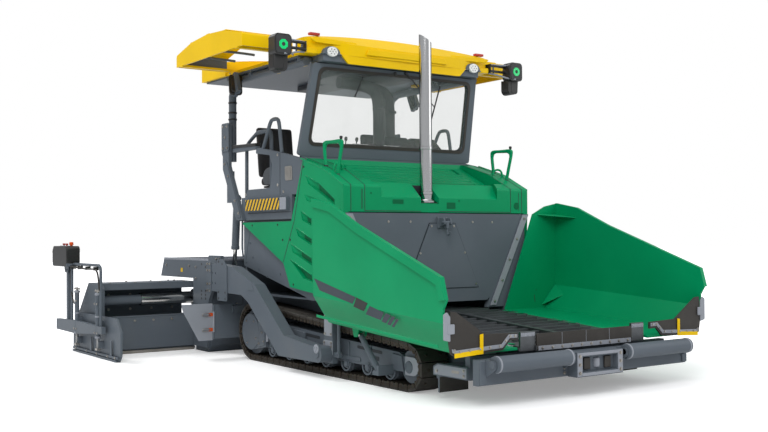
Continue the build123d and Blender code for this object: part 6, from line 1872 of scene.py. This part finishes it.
class PAVER_OT_screed(bpy.types.Operator):
    """Deck strips and tread, plate holes, sole plates, collars and blank labels"""

    bl_idname = "paver.screed"
    bl_label = "Screed"

    TUBE = (3130, 650)       # the sliding tubes' axis, seen from the side
    END_FACE = 1330
    PLATE_FACE = 2500

    def execute(self, context):
        central(self.deck_edges, "deck_edges", "plates", "screed", "light_grey_paint", bevel=0.004)
        central(self.deck_tread, "screed_tread", "plates", "screed", "light_grey_paint")
        handed(self.holes, "end_plate_hole_shade", "black", "screed", "dark_paint")
        handed(self.end_bolts, "end_plate_bolts", "steel", "screed", "wear_steel")
        handed(self.labels, "blank_labels", "yellow", "screed", "yellow_paint", bevel=0.001)
        handed(self.collars, "tube_collars", "plates", "screed", "light_grey_paint", bevel=0.004)
        central(self.sole, "sole_plate", "steel", "screed", "wear_steel", bevel=0.003)
        handed(self.extension_sole, "extension_soles", "steel", "extension", "wear_steel", bevel=0.003)
        handed(self.extension_bolts, "extension_bolts", "steel", "extension", "wear_steel")
        handed(self.extension_ribs, "extension_ribs", "frame", "extension", "grey_paint", bevel=0.004)
        handed(self.extension_label, "extension_labels", "yellow", "extension", "yellow_paint", bevel=0.001)
        handed(self.extension_flange, "extension_flanges", "plates", "extension", "light_grey_paint",
               bevel=0.004)
        central(self.box_lines, "screed_joint_lines", "dark", "screed", "dark_paint")
        central(self.boxes, "screed_boxes", "frame", "screed", "grey_paint", bevel=0.008)
        return {"FINISHED"}

    def deck_edges(self, bm):
        for sign in (-1, 1):
            block(bm, (sign * 1296, sign * 1330), (2480, 3850), (1120, 1149))
            block(bm, (sign * 1262, sign * 1296), (2480, 3850), (1120, 1128))
        block(bm, (-1290, 1290), (3812, 3850), (1120, 1146))
        block(bm, (-1290, 1290), (2480, 2510), (1120, 1146))

    def deck_tread(self, bm):
        tread(bm, (17, 25), (-1220, 2560), 74, 1230, 1120)

    def holes(self, bm, sign):
        # Painted shade: black discs and a slot for the holes in the end plates.
        face = self.END_FACE
        spots = [(2672, 1081), (2557, 1045)] + [(y, z) for y in (2674, 2559) for z in (749, 703, 657)]
        for y, z in spots:
            turned(bm, (sign * face, y, z), (sign * (face + 1), y, z), [(0, 15), (1, 15)], 18)
        across(bm, rounded(rect(3688, 3732, 832, 860), 12), sign * face, sign * (face + 1))
        for y, z in ((3385, 905), (3353, 905)):
            turned(bm, (sign * face, y, z + 10), (sign * (face + 1), y, z + 10), [(0, 9), (1, 9)], 14)

    def end_bolts(self, bm, sign):
        places = [(sign * self.END_FACE, y, z) for y, z in (
            (2180, 1150), (2260, 1150), (2210, 1060), (2840, 900), (2840, 1040), (3050, 1050), (3760, 1050)
        )]
        bolts(bm, places, (sign, 0, 0), 12, 9)

    def labels(self, bm, sign):
        across(bm, rounded(rect(3240, 3300, 969, 1021), 5), sign * self.END_FACE,
               sign * (self.END_FACE + 1))

    def collars(self, bm, sign):
        turned(bm, (sign * 1212, *self.TUBE), (sign * 1245, *self.TUBE),
               [(0, 96.4), (0, 98), (0.2, 106), (0.8, 106), (1, 100), (1, 96.4)], 48, True)

    def sole(self, bm):
        across(bm, [(2548, 34), (2584, 0), (2922, 0), (2922, 14), (2590, 14), (2556, 46)], -1290, 1290)

    def extension_sole(self, bm, sign):
        across(bm, [(2952, 30), (2984, 0), (3752, 0), (3752, 14), (2990, 14), (2960, 42)], sign * 1290,
               sign * 2499)

    def extension_bolts(self, bm, sign):
        places = [(sign * x, 3376, z) for x in (1420, 1700, 1980, 2260) for z in (520, 700)]
        bolts(bm, places, (0, -1, 0), 12, 9)
        bolts(bm, [(sign * x, y, 860) for x in (1400, 1720, 2040, 2360) for y in (3050, 3350)], (0, 0, 1),
              12, 9)
        bolts(bm, [(sign * x, 2960, 400) for x in (1360, 1600, 1840, 2080, 2320)], (0, -1, 0), 11, 8)

    def extension_ribs(self, bm, sign):
        for x in (1560, 1900, 2240):
            across(bm, [(3406, 440), (3640, 440), (3440, 780), (3406, 780)], sign * (x - 8), sign * (x + 8))
        block(bm, (sign * 1300, sign * 2450), (2966, 2990), (440, 462))

    def extension_label(self, bm, sign):
        across(bm, rounded(rect(3560, 3640, 330, 400), 6), sign * self.PLATE_FACE,
               sign * (self.PLATE_FACE + 1))

    def extension_flange(self, bm, sign):
        """Light ring that bolts the middle tube to the extension's end plate."""
        turned(bm, (sign * 2447, *self.TUBE), (sign * 2455, *self.TUBE), [(0, 82), (0.3, 92), (1, 92)], 40)

    def box_lines(self, bm):
        for x in (-860, -430, 0, 430, 860):
            block(bm, (x - 3, x + 3), (2478, 2480), (110, 1060))
        block(bm, (-1285, 1285), (2478, 2480), (560, 566))

    def boxes(self, bm):
        """Heater boxes on the back of the box."""
        for x in (-1000, -640, -280, 280, 640, 1000):
            along(bm, rounded(rect(x - 110, x + 110, 900, 1040), 18), 2920, 2954)


# ------------------------------------------------------------------ end gates


class PAVER_OT_end_gates(bpy.types.Operator):
    """Spindle collars, T handles, skids, console boxes and hanging hoses"""

    bl_idname = "paver.end_gates"
    bl_label = "End gates"

    SPINDLE_X = 2615
    GATE_FACE = 2570
    SPINDLES = (2740, 3490)

    def execute(self, context):
        body = "extension"
        handed(self.collars, "spindle_collars", "plates", body, "light_grey_paint", bevel=0.002)
        handed(self.rods, "spindle_rods", "chrome", body, "chrome_rod")
        handed(self.handles, "spindle_handles", "steel", body, "wear_steel", bevel=0.002)
        handed(self.edges, "gate_edges", "frame", body, "grey_paint", bevel=0.004)
        handed(self.skid_bolts, "skid_bolts", "steel", body, "wear_steel")
        handed(self.case_face, "console_faces", "black", body, "black_plastic", bevel=0.010)
        handed(self.case_knobs, "console_knobs", "red", body, "black_plastic")
        handed(self.case_buttons, "console_buttons", "plates", body, "light_grey_paint", bevel=0.001)
        handed(self.beacon, "console_beacons", "orange", body, "black_plastic")
        handed(self.brackets, "console_brackets", "frame", body, "grey_paint", bevel=0.003)
        handed(self.rail_clips, "rail_clips", "black", body, "black_plastic", bevel=0.002)
        for side, sign in SIDES:
            self.hose(f"console_hose_{side}", f"extension_{side}", [
                (2622, 3700, 1062), (2622, 3700, 1010), (2624, 3712, 900), (2624, 3690, 760),
                (2622, 3620, 640), (2618, 3570, 600), (2616, 3545, 590)
            ], sign, 0.016)
            self.hose(f"rail_hose_{side}", f"extension_{side}", [
                (2648, 3640, 1062), (2648, 3560, 1060), (2646, 3300, 1046), (2644, 3000, 1040),
                (2644, 2760, 1048), (2644, 2668, 1010), (2640, 2640, 900), (2632, 2636, 800)
            ], sign, 0.020)
        return {"FINISHED"}

    def hose(self, name, body, points, sign, diameter):
        """A free hose, fixed at both ends, as one smooth open curve."""
        curve = bent(name, [at(sign * x, y, z) for x, y, z in points], diameter / 2, 4, 8)
        made = bpy.data.objects.new(name, curve)
        bpy.context.scene.collection.objects.link(made)
        curve.materials.append(finish_of("rubber"))
        probe = bpy.data.meshes.new_from_object(self.bare(curve))
        bpy.data.meshes.remove(probe)
        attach(made, body)
        x, y, z = points[0]
        tuple(at(sign * x, y, z))

    def bare(self, curve):
        """The curve's line alone, without its bevel."""
        line_only = curve.copy()
        line_only.bevel_depth = 0.0
        return bpy.data.objects.new("line", line_only)

    def collars(self, bm, sign):
        x = sign * self.SPINDLE_X
        for y in self.SPINDLES:
            for low, high, radius in ((236, 262, 35), (480, 500, 33), (738, 768, 36)):
                turned(bm, (x, y, low), (x, y, high), [(0, 29), (0.15, radius), (0.85, radius), (1, 29)], 28)

    def rods(self, bm, sign):
        x = sign * self.SPINDLE_X
        for y in self.SPINDLES:
            for k in range(11):
                z = 128 + 10 * k
                turned(bm, (x, y, z), (x, y, z + 6), [(0, 17), (0.5, 19), (1, 17)], 20)

    def handles(self, bm, sign):
        x = sign * self.SPINDLE_X
        for y in self.SPINDLES:
            bar(bm, (x, y - 75, 790), (x, y + 75, 790), 8, 12)
            for end in (-75, 75):
                turned(bm, (x, y + end - 10, 790), (x, y + end + 10, 790), [(0, 10), (0.5, 14), (1, 10)], 14)
            turned(bm, (x, y, 768), (x, y, 806), [(0, 15), (1, 13)], 16)
            block(bm, (x - 26, x + 26), (y - 30, y + 30), (96, 122))

    def edges(self, bm, sign):
        across(bm, rounded(rect(2190, 3740, 36, 62), 8), sign * self.GATE_FACE, sign * (self.GATE_FACE + 16))
        for y in (2420, 3100):
            across(bm, [(y - 30, 62), (y + 30, 62), (y + 18, 230), (y - 18, 230)], sign * self.GATE_FACE,
                   sign * (self.GATE_FACE + 10))

    def skid_bolts(self, bm, sign):
        places = [(sign * (self.GATE_FACE + 16), y, 49) for y in (2260, 2500, 2860, 3220, 3620)]
        bolts(bm, places, (sign, 0, 0), 10, 8)
        bolts(bm, [(sign * 2640, y, z) for y in (2700, 2780, 3450, 3530) for z in (300, 640)], (sign, 0, 0),
              10, 7)

    def case_face(self, bm, sign):
        outline = [(3612, 1110), (3660, 1056), (4130, 1056), (4186, 1110), (4186, 1250), (4140, 1312),
                   (3640, 1312), (3612, 1280)]
        across(bm, outline, sign * 2536, sign * 2709)

    def case_knobs(self, bm, sign):
        for x, y in ((2590, 3760), (2655, 3760), (2590, 4080)):
            turned(bm, (sign * x, y, 1311), (sign * x, y, 1345),
                   [(0, 9), (0.4, 9), (0.5, 18), (0.9, 18), (1, 12)], 18)

    def case_buttons(self, bm, sign):
        for row in range(3):
            for column in range(6):
                x, y = 2580 + row * 36, 3830 + column * 36
                upright(bm, rounded(rect(sign * (x - 11), sign * (x + 11), y - 11, y + 11), 5), 1311, 1317)

    def beacon(self, bm, sign):
        turned(bm, (sign * 2625, 3680, 1308), (sign * 2625, 3680, 1362),
               [(0, 14), (0.3, 14), (0.35, 26), (0.9, 25), (1, 16)], 20)

    def brackets(self, bm, sign):
        across(bm, rounded([(3756, 980), (3866, 980), (3900, 1058), (3720, 1058)], 10), sign * 2585,
               sign * 2593)
        across(bm, rounded([(3756, 980), (3866, 980), (3900, 1058), (3720, 1058)], 10), sign * 2637,
               sign * 2645)
        bolts(bm, [(sign * 2645, y, 1010) for y in (3785, 3838)], (sign, 0, 0), 9, 7)

    def rail_clips(self, bm, sign):
        for y in (2760, 3040, 3320, 3580):
            block(bm, (sign * 2596, sign * 2658), (y, y + 22), (1030, 1072))


# ------------------------------------------------------------------ panel and registration


OPERATORS = (
    PAVER_OT_stage, PAVER_OT_finishes, PAVER_OT_tracks, PAVER_OT_hopper, PAVER_OT_push_bar, PAVER_OT_body,
    PAVER_OT_stand, PAVER_OT_roof, PAVER_OT_tow, PAVER_OT_screed, PAVER_OT_end_gates
)


class PAVER_PT_parts(bpy.types.Panel):
    """Lists the steps that dress the paver"""

    bl_label = "Asphalt paver"
    bl_idname = "PAVER_PT_parts"
    bl_space_type = "VIEW_3D"
    bl_region_type = "UI"
    bl_category = "Paver"

    def draw(self, context):
        column = self.layout.column()
        for group in (context.scene.paver_finishes, context.scene.paver_stage):
            for key in group.bl_rna.properties.keys():
                if key not in ("rna_type", "name"):
                    column.prop(group, key)
        for operator in OPERATORS:
            column.operator(operator.bl_idname)


CLASSES = (PaverFinishes, PaverStage, *OPERATORS, PAVER_PT_parts)


def register():
    for kind in CLASSES:
        bpy.utils.register_class(kind)
    bpy.types.Scene.paver_finishes = PointerProperty(type=PaverFinishes)
    bpy.types.Scene.paver_stage = PointerProperty(type=PaverStage)


def unregister():
    del bpy.types.Scene.paver_stage
    del bpy.types.Scene.paver_finishes
    for kind in reversed(CLASSES):
        bpy.utils.unregister_class(kind)


def main():
    """Dress the paver step by step."""
    register()
    for operator in OPERATORS:
        group, step = operator.bl_idname.split(".")
        getattr(getattr(bpy.ops, group), step)()


if __name__ == "__main__":
    main()
